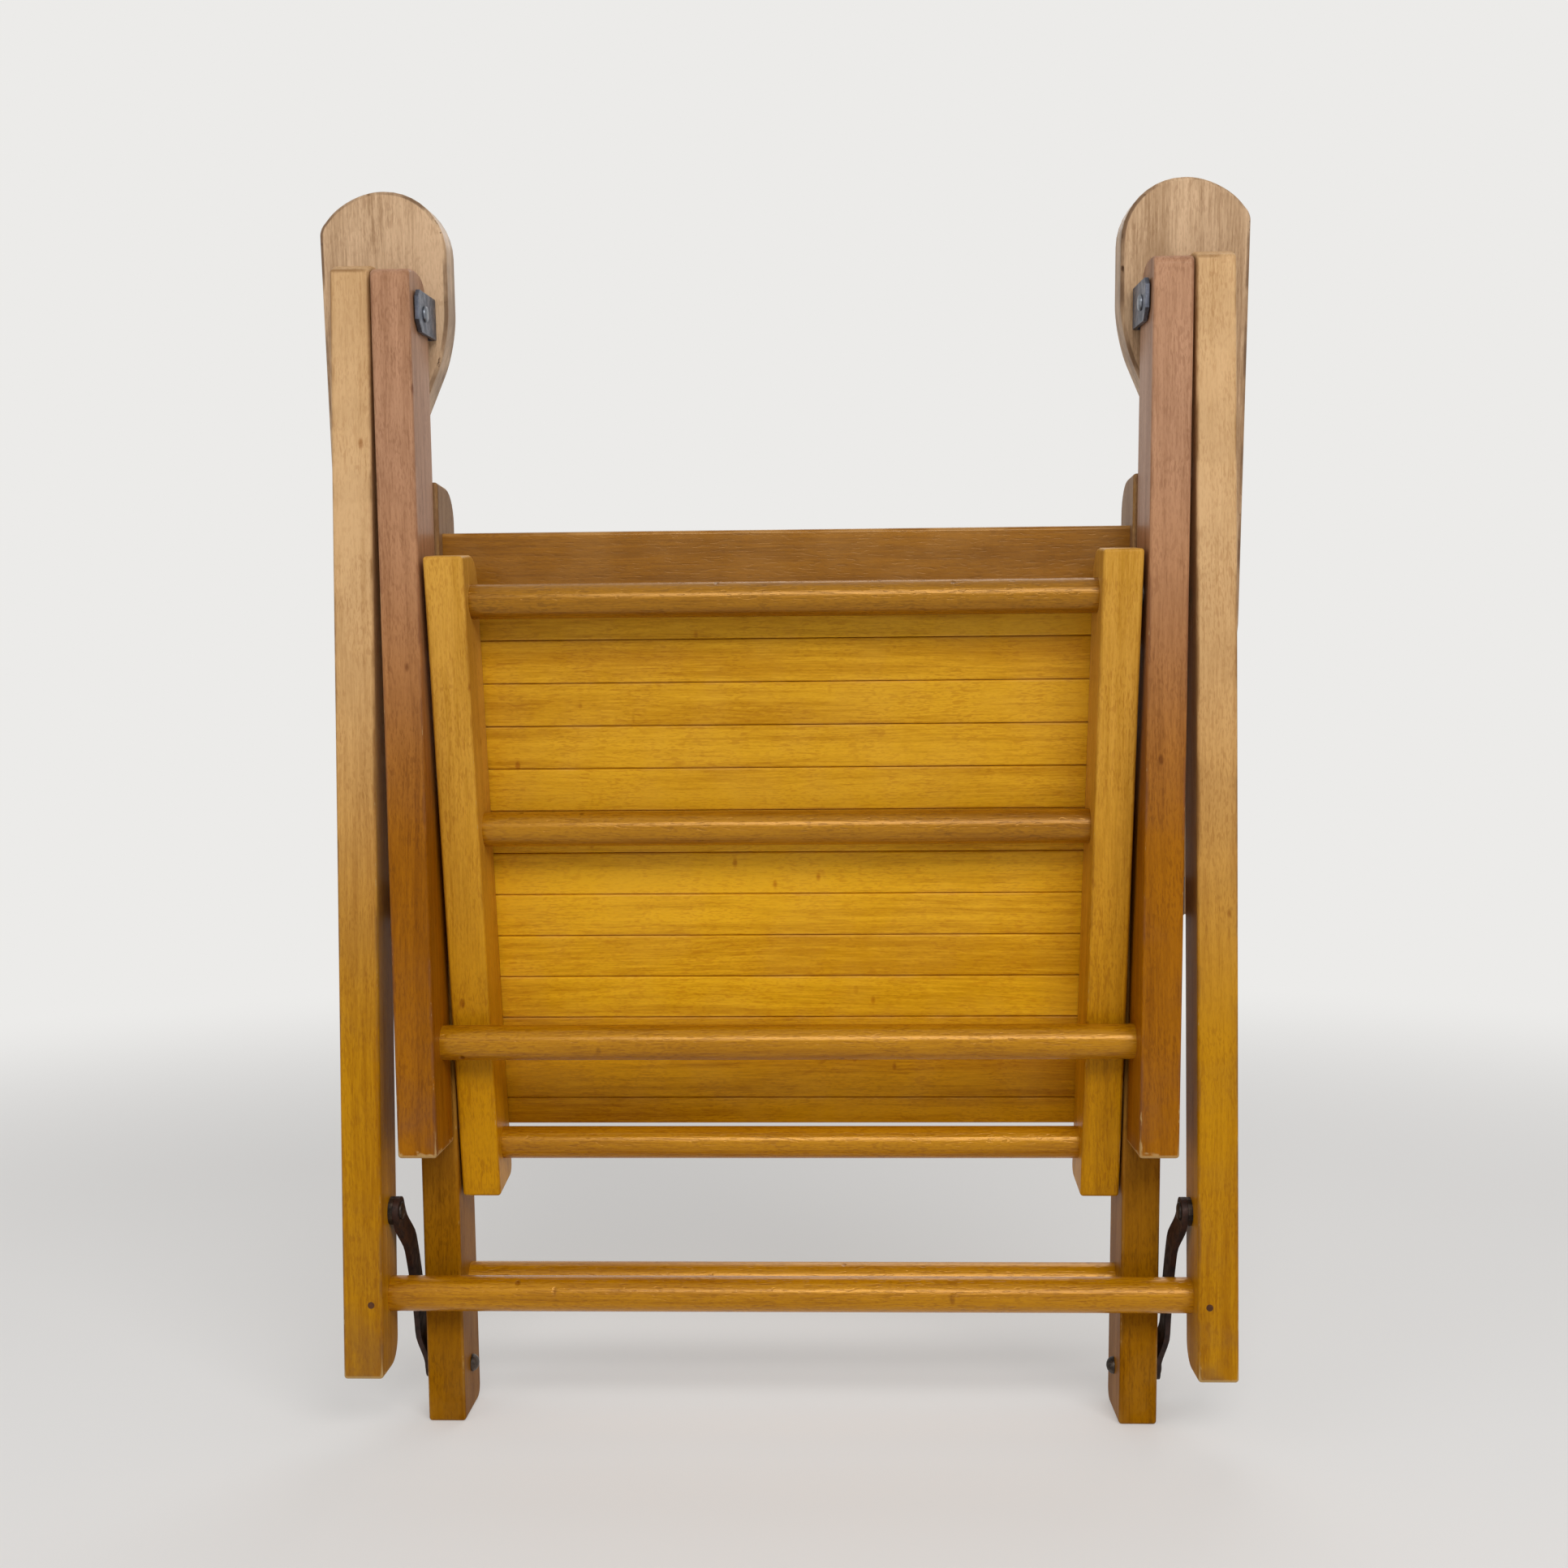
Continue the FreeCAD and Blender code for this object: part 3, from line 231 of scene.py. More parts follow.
def new_group(name: str, vectors: Sequence[str], values: dict[str, float],
              outputs: Sequence[str]) -> tuple[Wiring, object, object]:
    """Start a shader node group with named sockets.

    Args:
        name: The group's name.
        vectors: The names of its vector inputs.
        values: The names and defaults of its number inputs.
        outputs: The names of its outputs, all numbers.

    Returns:
        The group's wiring, what it is given, and what it gives.
    """
    tree = bpy.data.node_groups.new(name, "ShaderNodeTree")
    for label in vectors:
        tree.interface.new_socket(label, in_out="INPUT", socket_type="NodeSocketVector")
    for label, default in values.items():
        socket = tree.interface.new_socket(label, in_out="INPUT",
                                           socket_type="NodeSocketFloat")
        socket.default_value = default
    for label in outputs:
        tree.interface.new_socket(label, in_out="OUTPUT", socket_type="NodeSocketFloat")
    w = Wiring(tree)
    return w, w.node("NodeGroupInput").outputs, w.node("NodeGroupOutput").inputs


def beech_figure_group() -> Tree:
    """Make the figure of beech: broad tone, fine fibres and short dark flecks."""
    w, given, gives = new_group("beech_figure", ["Along Grain"], {"Fleck": 0.5},
                                ["Tone", "Flecks", "Relief"])
    place = given["Along Grain"]
    wander = w.noise(place, 7.0, 2.0, along=0.25, output="Color")
    waved = w.node("ShaderNodeVectorMath", {0: wander, 1: (0.022, 0.022, 0.0), 2: place},
                   operation="MULTIPLY_ADD").outputs[0]
    whole = w.noise(place, 1.1, 0.0)
    broad = w.noise(waved, 46.0, 2.0, along=0.045)
    streaks = w.noise(waved, 210.0, 3.0, along=0.035)
    fibres = w.noise(waved, 800.0, 2.0, along=0.05)
    cloud = w.noise(place, 14.0, 1.0, along=0.35)
    shares = ((whole, 0.16), (broad, 0.26), (streaks, 0.22), (fibres, 0.20), (cloud, 0.16))
    tone: object = 0.0
    for part, share in shares:
        tone = w.math("ADD", w.times(part, share), tone)
    dashes = w.window(w.noise(waved, 640.0, 0.0, along=0.22), 0.60, 0.72)
    fine = w.window(w.noise(waved, 1150.0, 0.0, along=0.24), 0.52, 0.68)
    patches = w.window(w.noise(place, 38.0, 2.0), 0.36, 0.62, 0.45, 1.0)
    flecks = w.times(w.math("MAXIMUM", dashes, w.times(fine, 0.8)), patches)
    w.feed(gives["Tone"], w.window(tone, 0.38, 0.58))
    w.feed(gives["Flecks"], w.times(flecks, given["Fleck"]))
    w.feed(gives["Relief"],
           w.math("SUBTRACT", w.times(fibres, 0.5), w.times(dashes, 0.35)))
    return w.tree


def edge_wear_group() -> Tree:
    """Make worn edges from the piece's wear attribute, broken up by noise, and small dents;
    on the arms' side faces that attribute paints shade.
    """
    w, given, gives = new_group("edge_wear", [], {"Wear": 0.0, "Amount": 0.5},
                                ["Rubbed", "Chipped", "Dents"])
    place = w.place()
    patchy = w.window(w.noise(place, 24.0, 4.0), 0.40, 0.62)
    rubbed = w.times(given["Wear"], patchy)
    ragged = w.math("ADD", given["Wear"], w.times(w.noise(place, 210.0), 0.9))
    places = w.math("MAXIMUM", w.window(w.noise(place, 60.0, 2.0), 0.55, 0.62),
                    w.window(given["Wear"], 1.05, 1.25))
    chipped = w.times(w.window(ragged, 1.36, 1.46), places)
    pits = w.node("ShaderNodeTexVoronoi", {
        "Vector": w.stretch(place, (1.0, 1.0, 0.5)), "Scale": 46.0}, feature="F1")
    dented = w.window(w.noise(place, 9.0, 1.0), 0.48, 0.56)
    w.feed(gives["Rubbed"], w.times(rubbed, given["Amount"], True))
    w.feed(gives["Chipped"], w.times(chipped, given["Amount"], True))
    w.feed(gives["Dents"], w.times(w.window(pits.outputs["Distance"], 0.12, 0.04), dented))
    return w.tree


def metal_grime_group() -> Tree:
    """Make dull metal: a mottled tone and scuffs, coarser where Scale is below 1."""
    w, given, gives = new_group("metal_grime", [], {"Scale": 1.0}, ["Mottle", "Scuffs"])
    place = w.place()
    mottle = w.noise(place, w.times(given["Scale"], 160.0), 5.0)
    scuffs = w.noise(w.stretch(place, (1.0, 0.25, 1.0)), w.times(given["Scale"], 900.0),
                     distortion=1.2)
    w.feed(gives["Mottle"], w.window(mottle, 0.35, 0.65))
    w.feed(gives["Scuffs"], w.window(scuffs, 0.55, 0.75))
    return w.tree


# Finishes


@dataclass(frozen=True)
class WoodFinish:
    """A varnished beech finish, whose colour fades from the foot to the top of a member as
    painted light, shade and reflection.
    """

    name: str
    slot: str
    light_high: Colour
    dark_high: Colour
    light_low: Colour
    dark_low: Colour
    rubbed: Colour = srgb(222, 178, 116)
    bare: Colour = srgb(188, 158, 106)
    gloss: Colour = srgb(255, 226, 178)
    fleck: float = 0.5
    wear: float = 0.6
    roughness: float = 0.46
    sheen: float = 0.05
    sheen_roughness: float = 0.14
    sheen_ior: float = 1.46
    gloss_level: float = 0.15
    relief: float = 0.35
    relief_depth: float = 0.0004
    tone_gloss: float = -0.06
    chip_dullness: float = 0.3
    dent_shade: float = 0.6
    dent_depth: float = 1.6
    # Heights in metres over which the painted light and shade fade from the foot colours to
    # the top colours
    fade_low: float = 0.10
    fade_high: float = 0.80

    def build(self, groups: dict[str, Tree]) -> Material:
        """Make the material.

        Args:
            groups: The shared node groups by name.

        Returns:
            The material.
        """
        material, w = new_material(self.name)
        height = w.node("ShaderNodeSeparateXYZ", {0: w.place()}).outputs["Z"]
        wood = w.node("ShaderNodeGroup", {
            "Along Grain": w.attribute("grain", "Vector"), "Fleck": self.fleck},
            node_tree=groups["figure"]).outputs
        edges = w.node("ShaderNodeGroup", {
            "Wear": w.attribute("wear", "Fac"), "Amount": self.wear},
            node_tree=groups["wear"]).outputs
        # Painted light and shade: the colour fades with height from the foot colours to the
        # top colours
        up = w.window(height, self.fade_low, self.fade_high)
        light = w.blend(up, self.light_low, self.light_high)
        dark = w.blend(up, self.dark_low, self.dark_high)
        colour = w.blend(wood["Tone"], dark, light)
        colour = w.blend(wood["Flecks"], colour, dark, "MULTIPLY")
        # Rubbed edges, and painted shade where the wear attribute carries it
        colour = w.blend(edges["Rubbed"], colour, self.rubbed)
        colour = w.blend(edges["Chipped"], colour, self.bare)
        shade = w.times(edges["Dents"], self.dent_shade)
        colour = w.blend(shade, colour, dark, "MULTIPLY")
        rough = w.math("ADD", w.times(wood["Tone"], self.tone_gloss), self.roughness)
        rough = w.math("ADD", rough, w.times(edges["Chipped"], self.chip_dullness))
        relief = w.math("SUBTRACT", wood["Relief"],
                        w.times(edges["Dents"], self.dent_depth))
        w.surface({
            "Base Color": colour, "Roughness": rough,
            "Specular IOR Level": self.gloss_level, "Specular Tint": self.gloss,
            "Coat Weight": self.sheen, "Coat Roughness": self.sheen_roughness,
            "Coat IOR": self.sheen_ior, "Coat Tint": self.gloss,
        }, relief, self.relief, self.relief_depth)
        return material


@dataclass(frozen=True)
class MetalFinish:
    """A dull, aged metal finish."""

    name: str
    slot: str
    colour: Colour
    patina: Colour
    bright: Colour
    metallic: float = 0.85
    roughness: float = 0.42
    scale: float = 1.0
    scuffing: float = 0.18
    dullness: float = 0.1
    mottling: float = 0.16
    relief: float = 0.2
    relief_depth: float = 0.0002

    def build(self, groups: dict[str, Tree]) -> Material:
        """Make the material.

        Args:
            groups: The shared node groups by name.

        Returns:
            The material.
        """
        material, w = new_material(self.name)
        dull = w.node("ShaderNodeGroup", {"Scale": self.scale},
                      node_tree=groups["grime"]).outputs
        colour = w.blend(dull["Mottle"], self.patina, self.colour)
        colour = w.blend(w.times(dull["Scuffs"], self.scuffing), colour, self.bright)
        rough = w.math("SUBTRACT", self.roughness + self.dullness,
                       w.times(dull["Mottle"], self.mottling))
        w.surface({"Base Color": colour, "Metallic": self.metallic, "Roughness": rough},
                  dull["Mottle"], self.relief, self.relief_depth)
        return material


Finish = WoodFinish | MetalFinish

# The top and foot colours of each wood finish paint light, shade and reflection that change
# with height.
ARM_WOOD = WoodFinish(
    "arm_beech", "arm_wood",
    srgb(210, 178, 144), srgb(160, 128, 96), srgb(204, 164, 120), srgb(154, 116, 76),
    # The rubbed colour darkens the worn edges and, as painted shade, the side faces
    rubbed=srgb(104, 78, 58), bare=srgb(78, 54, 38), fleck=0.25, wear=1.0)
REAR_LEG_WOOD = WoodFinish(
    "rear_leg_beech", "rear_leg_wood",
    srgb(210, 172, 126), srgb(182, 142, 96), srgb(188, 132, 8), srgb(158, 102, 0),
    rubbed=srgb(122, 84, 46), fleck=0.28, wear=0.8, fade_low=0.26, fade_high=0.68)
FRONT_LEG_WOOD = WoodFinish(
    "front_leg_beech", "front_leg_wood",
    srgb(182, 138, 108), srgb(150, 108, 80), srgb(160, 98, 4), srgb(130, 74, 0),
    rubbed=srgb(112, 70, 48), fleck=0.3, wear=0.7, fade_low=0.40, fade_high=0.74)
SEAT_WOOD = WoodFinish(
    "seat_rail_beech", "seat_wood",
    srgb(208, 156, 66), srgb(180, 128, 38), srgb(204, 144, 6), srgb(168, 110, 0),
    rubbed=srgb(146, 96, 24), fleck=0.32, wear=0.5, fade_low=0.24, fade_high=0.62)
# The posts' grey-brown top colours are painted shade on their upper parts.
POST_WOOD = WoodFinish(
    "back_post_beech", "seat_wood",
    srgb(156, 120, 84), srgb(126, 92, 60), srgb(152, 98, 0), srgb(122, 73, 0),
    rubbed=srgb(164, 118, 50), fleck=0.3, wear=0.6, sheen=0.0, gloss_level=0.06,
    fade_low=0.10, fade_high=0.62)
# The slats' foot colours are brighter than their top colours: painted light that offsets
# the lamps' falloff.
SLAT_WOOD = WoodFinish(
    "slat_beech", "slat_wood",
    srgb(214, 160, 34), srgb(178, 122, 12), srgb(236, 178, 28), srgb(198, 138, 6),
    fleck=0.3, wear=0.2, fade_low=0.26, fade_high=0.58)
# The lowest slats have darker foot colours: painted shadow cast by the rung just above
# them.
SHADED_SLAT_WOOD = replace(
    SLAT_WOOD, name="low_slat_beech", light_low=srgb(208, 148, 12),
    dark_low=srgb(168, 108, 2))
DOWEL_WOOD = WoodFinish(
    "dowel_beech", "dowel_wood",
    srgb(142, 96, 18), srgb(108, 66, 4), srgb(184, 129, 6), srgb(148, 94, 0),
    gloss=srgb(255, 200, 118), fleck=0.35, wear=0.3, roughness=0.28, sheen=0.12,
    gloss_level=1.0, relief=0.8)
RAIL_WOOD = WoodFinish(
    "back_rail_beech", "rail_wood",
    srgb(152, 100, 22), srgb(120, 74, 8), srgb(154, 100, 18), srgb(122, 74, 6),
    gloss=srgb(255, 214, 160), fleck=0.2, wear=0.4, roughness=0.32, sheen=0.1,
    gloss_level=0.5)
BRACKET_STEEL = MetalFinish(
    "zinc_steel", "bracket_steel", srgb(106, 110, 122), srgb(84, 88, 98),
    srgb(166, 170, 178))
LINK_STEEL = MetalFinish(
    "bronzed_steel", "link_steel", srgb(54, 28, 16), srgb(32, 15, 8), srgb(104, 72, 52),
    metallic=0.3, roughness=0.56)
BOLT_STEEL = MetalFinish(
    "aged_bolt_steel", "bolt_steel", srgb(84, 74, 66), srgb(44, 38, 34),
    srgb(150, 142, 132))
PIN_STEEL = MetalFinish(
    "rusty_pin_steel", "bolt_steel", srgb(84, 44, 4), srgb(58, 28, 0),
    srgb(104, 62, 20), metallic=0.0, roughness=0.85)
PIVOT_STEEL = MetalFinish(
    "worn_pivot_steel", "bolt_steel", srgb(136, 140, 148), srgb(104, 108, 114),
    srgb(204, 206, 210), roughness=0.34)


class Finishes:
    """The built materials, by finish."""

    def __init__(self) -> None:
        """Build the shared groups once."""
        self.groups = {"figure": beech_figure_group(), "wear": edge_wear_group(),
                       "grime": metal_grime_group()}
        self.made: dict[str, Material] = {}

    def of(self, finish: Finish) -> Material:
        """Return the material of a finish, built on first use."""
        if finish.name not in self.made:
            self.made[finish.name] = finish.build(self.groups)
        return self.made[finish.name]


# Places of the moving groups


@dataclass(frozen=True)
class Station:
    """A moving group's body and own frame in millimetres, leaning by offset over run."""

    body: str
    back: float
    up: float
    run: float = 1.0
    offset: float = 0.0

    @property
    def span(self) -> float:
        """Return the distance to the group's lower pivot."""
        return math.hypot(self.run, self.offset)

    def matrix(self) -> Matrix:
        """Return the matrix from the group's millimetres to the row's metres."""
        spot = Vector((0.0, self.back, self.up)) * MM
        turn = Matrix.Rotation(math.atan2(self.offset, self.run), 4, "X")
        return Matrix.Translation(spot) @ turn @ Matrix.Scale(MM, 4)


@dataclass(frozen=True)
class Packet:
    """Where the pivots of the folded packet are, in millimetres."""

    pivot_height: float = 800.0
    pivot_back: float = -39.53
    seat_drop: float = 203.0
    seat_run: float = 398.7
    seat_offset: float = 55.0
    arm_reach: float = 425.0
    arm_offset: float = 42.0
    link_drop: float = 638.0
    link_back: float = 5.0
    link_run: float = 128.0
    link_offset: float = 50.0

    def station(self, body: str) -> Station:
        """Return the frame of a moving group.

        Args:
            body: Its CAD body.
        """
        # Behind and below the main pivot, and run and offset to the lower pivot
        places = {
            "seat": (0.0, self.seat_drop, self.seat_run, self.seat_offset),
            "back": (self.seat_offset, self.seat_drop + self.seat_run),
            "arms": (0.0, 0.0, self.arm_reach, self.arm_offset),
            "links": (self.link_back, self.link_drop, self.link_run, self.link_offset)}
        behind, below, *lean = places.get(body, (0.0, 0.0))
        return Station(body, self.pivot_back + behind, self.pivot_height - below, *lean)


class Side(Enum):
    """The two sides of the chair."""

    RIGHT = 1
    LEFT = -1

    @property
    def word(self) -> str:
        """Return the side's word in a node's name."""
        return self.name.lower()


class Grain(Enum):
    """The axis of a piece's own frame that its grain follows."""

    LENGTH = "z"
    ACROSS = "x"


# Mesh helpers


def soften(shape: Shape, edges: Sequence[bmesh.types.BMEdge], radius: float,
           segments: int = 3) -> None:
    """Round the given edges."""
    bmesh.ops.bevel(shape, geom=list(edges), offset=radius, offset_type="OFFSET",
                    segments=segments, profile=0.5, affect="EDGES", clamp_overlap=True,
                    material=-1)


def sharp_edges(shape: Shape, least: float = 50.0) -> list[bmesh.types.BMEdge]:
    """Return the edges that turn by more than the given angle in degrees."""
    limit = math.radians(least)
    return [e for e in shape.edges if e.is_manifold and e.calc_face_angle(0.0) > limit]


def cut(shape: Shape, place: Vector, normal: Vector, clear: bool = False) -> dict:
    """Cut a shape along a plane, and clear what lies beyond it where asked.

    Args:
        shape: The shape.
        place: A point of the plane.
        normal: The plane's normal, which points beyond it.
        clear: Whether what lies beyond goes.

    Returns:
        What the operator made.
    """
    return bmesh.ops.bisect_plane(
        shape, geom=[*shape.verts, *shape.edges, *shape.faces], plane_co=place,
        plane_no=normal, clear_outer=clear, dist=1e-4)


def slice_along(shape: Shape, axis: int, places: Sequence[float]) -> None:
    """Cut loops into a shape at places along an axis."""
    normal = Vector((0.0, 0.0, 0.0))
    normal[axis] = 1.0
    for place in places:
        cut(shape, normal * place, normal)


def extrude(shape: Shape, step: Vector) -> None:
    """Draw a flat shape out into a solid."""
    grown = bmesh.ops.extrude_face_region(shape, geom=list(shape.faces))
    moved = [g for g in grown["geom"] if isinstance(g, bmesh.types.BMVert)]
    bmesh.ops.translate(shape, vec=step, verts=moved)
    bmesh.ops.recalc_face_normals(shape, faces=shape.faces)


def flip_side(shape: Shape, side: Side) -> None:
    """Turn a right-hand shape into its left-hand twin where the side asks for it."""
    if side is Side.LEFT:
        bmesh.ops.scale(shape, vec=Vector((-1.0, 1.0, 1.0)), verts=shape.verts)
        bmesh.ops.reverse_faces(shape, faces=shape.faces)


def no_wear(spot: Vector) -> float:
    """Return no wear anywhere."""
    return 0.0


def spun_pair(stations: Stations, segments: int = 40) -> Shape:
    """Return a closed turned piece along X and its twin on the left.

    Args:
        stations: Position along X and radius of each ring.
        segments: Faces around each piece.

    Returns:
        Both pieces in one shape.
    """
    shape = bmesh.new()
    line = [(stations[0][0], 0.0), *stations, (stations[-1][0], 0.0)]
    for side in Side:
        verts = [shape.verts.new((x * side.value, 0.0, radius)) for x, radius in line]
        edges = [shape.edges.new(pair) for pair in zip(verts, verts[1:])]
        bmesh.ops.spin(shape, geom=verts + edges, cent=Vector(),
                       axis=Vector((1.0, 0.0, 0.0)), angle=math.tau, steps=segments,
                       use_merge=True)
    bmesh.ops.remove_doubles(shape, verts=shape.verts, dist=1e-4)
    bmesh.ops.recalc_face_normals(shape, faces=shape.faces)
    return shape


# Members that repeat


@dataclass(frozen=True)
class Bar:
    """A bar with eased edges between two corners, in millimetres."""

    low: Vector
    high: Vector
    ease: float
    spans: int = 8

    def shape(self) -> Shape:
        """Return the bar, with loops along its length."""
        shape = bmesh.new()
        bmesh.ops.create_cube(shape, size=1.0)
        size, middle = self.high - self.low, (self.low + self.high) / 2
        bmesh.ops.scale(shape, vec=size, verts=shape.verts)
        bmesh.ops.translate(shape, vec=middle, verts=shape.verts)
        soften(shape, sharp_edges(shape), self.ease)
        axis = max(range(3), key=lambda i: size[i])
        slice_along(shape, axis, [middle[axis] + size[axis] * i / self.spans
                                  for i in range(1 - self.spans // 2, self.spans // 2)])
        return shape

    def wear(self, spot: Vector) -> float:
        """Return the wear at a point: 1 on the edges."""
        gaps = sorted(min(abs(spot[i] - self.low[i]), abs(spot[i] - self.high[i]))
                      for i in range(3))
        return max(0.0, min(1.0, EDGE_WEAR - gaps[1] / (self.ease * EDGE_REACH)))


@dataclass(frozen=True)
class Head:
    """A fastener's rounded head, in millimetres: a rim and a crown with a flat middle."""

    radius: float
    height: float
    rim: float = 0.3
    flat: float = 0.42
    turn: float = 90.0
    rings: int = 7

    def stations(self, face: float, way: int = 1) -> Stations:
        """Return the positions and radii of its rings in their order along X.

        Args:
            face: Where its flat side lies.
            way: 1 where it points along X, -1 where it points back.
        """
        rim = self.height * self.rim
        rise = self.height - rim
        made = [(face, self.radius)] if rim else []
        for i in range(self.rings):
            angle = math.radians(self.turn) * i / (self.rings - 1)
            radius = self.radius * (self.flat + (1.0 - self.flat) * math.cos(angle))
            made.append((face + way * (rim + rise * math.sin(angle)), radius))
        return made[::way]

    def bolt(self, tail: float, face: float, shank: float) -> Stations:
        """Return the rings of a plain shank with this head at its outer end."""
        return [(tail, shank), (face, shank), *self.stations(face)]


@dataclass(frozen=True)
class Timber:
    """A straight timber, in millimetres from its pivot, whose faces may taper inward."""

    outer: float
    taper: float
    width: float
    top: float
    bottom: float
    depth: float
    # Rounded corners: 1 at the back or -1 in front, whether at the top, radius
    rounds: tuple[tuple[int, bool, float], ...] = ()
    crown: float = 0.0
    crown_depth: float = 22.0
    crown_run: float = 18.0
    ease: float = 2.4
    loop_step: float = 60.0
    foot_loops: tuple[float, ...] = (5.0, 14.0)
    # Near the foot: how far up wear spreads, and what it adds to level, reach and peak
    foot_rise: float = 34.0
    foot_level: float = 0.4
    foot_reach: float = 0.5
    foot_peak: float = 0.28
    scuff_rise: float = 8.0
    scuff_wear: float = 1.42

    def outer_at(self, height: float) -> float:
        """Return the outer face's distance from the middle plane at a height."""
        return self.outer + self.taper * height

    def inner_at(self, height: float) -> float:
        """Return the inner face's distance from the middle plane at a height."""
        return self.outer_at(height) - self.width

    def shape(self) -> Shape:
        """Return the right-hand member, its corners rounded and its edges eased."""
        shape = bmesh.new()
        bmesh.ops.create_cube(shape, size=1.0)
        for vertex in shape.verts:
            height = self.top if vertex.co.z > 0 else -self.bottom
            outer = self.outer_at(height)
            vertex.co = Vector((outer if vertex.co.x > 0 else outer - self.width,
                                math.copysign(self.depth / 2, vertex.co.y), height))
        for back, upper, radius in self.rounds:
            level = self.top if upper else -self.bottom
            corner = [e for e in shape.edges
                      if all(abs(v.co.z - level) < 0.1 and v.co.y * back > 0
                             for v in e.verts)]
            soften(shape, corner, radius, 7)
        soften(shape, sharp_edges(shape), self.ease, 4)
        length = self.top + self.bottom
        steps = int(length / self.loop_step)
        slice_along(shape, 2, [self.top - length * i / steps for i in range(1, steps)])
        slice_along(shape, 2, [rise - self.bottom for rise in self.foot_loops])
        if self.crown:
            self.lift_crown(shape)
        return shape

    def lift_crown(self, shape: Shape) -> None:
        """Arch the top end from front to back."""
        half, start = self.depth / 2, self.top - self.crown_depth
        slice_along(shape, 1, [half * i / 5 for i in range(-4, 5)])
        slice_along(shape, 2, [start])
        for vertex in shape.verts:
            share = max(0.0, min(1.0, (vertex.co.z - start) / self.crown_run))
            arch = max(0.0, 1.0 - (vertex.co.y / half) ** 2)
            vertex.co.z += self.crown * share * arch

    def wear(self, foot: float) -> Wear:
        """Return the wear at a point: 1 on the edges, more spread near the foot.

        Args:
            foot: Extra wear at the lower end, from 0 to 1.
        """
        def at(spot: Vector) -> float:
            """Return the wear at one point."""
            outer, rise = self.outer_at(spot.z), self.bottom + spot.z
            across = min(abs(abs(spot.x) - outer), abs(abs(spot.x) - outer + self.width))
            deep = abs(self.depth / 2 - abs(spot.y))
            end = min(abs(self.top - spot.z), abs(rise))
            second = sorted((across, deep, end))[1]
            low = max(0.0, 1.0 - rise / self.foot_rise) * foot
            reach = self.ease * (EDGE_REACH + self.foot_reach * low)
            worn = EDGE_WEAR + self.foot_level * low - second / reach
            scuffed = (self.scuff_wear - rise / self.scuff_rise) * foot
            return max(0.0, min(1.0 + self.foot_peak * low, worn), scuffed)
        return at


@dataclass(frozen=True)
class Dowel:
    """A round rung or dowel between two timbers, in millimetres."""

    radius: float
    drop: float
    back: float = 0.0
    housing: float = 12.0
    segments: int = 48

    def shape(self, timber: Timber) -> Shape:
        """Return the dowel between the timber and its twin, with loops along its length."""
        half = timber.inner_at(-self.drop) + self.housing
        shape = bmesh.new()
        bmesh.ops.create_cone(shape, cap_ends=True, cap_tris=False, segments=self.segments,
                              radius1=self.radius, radius2=self.radius, depth=half * 2)
        turn = Matrix.Rotation(math.radians(90.0), 3, "Y")
        bmesh.ops.rotate(shape, cent=Vector(), matrix=turn, verts=shape.verts)
        slice_along(shape, 0, [half * i / 6 for i in range(-5, 6)])
        bmesh.ops.translate(shape, vec=Vector((0.0, self.back, -self.drop)),
                            verts=shape.verts)
        return shape


# Finishing of the pieces


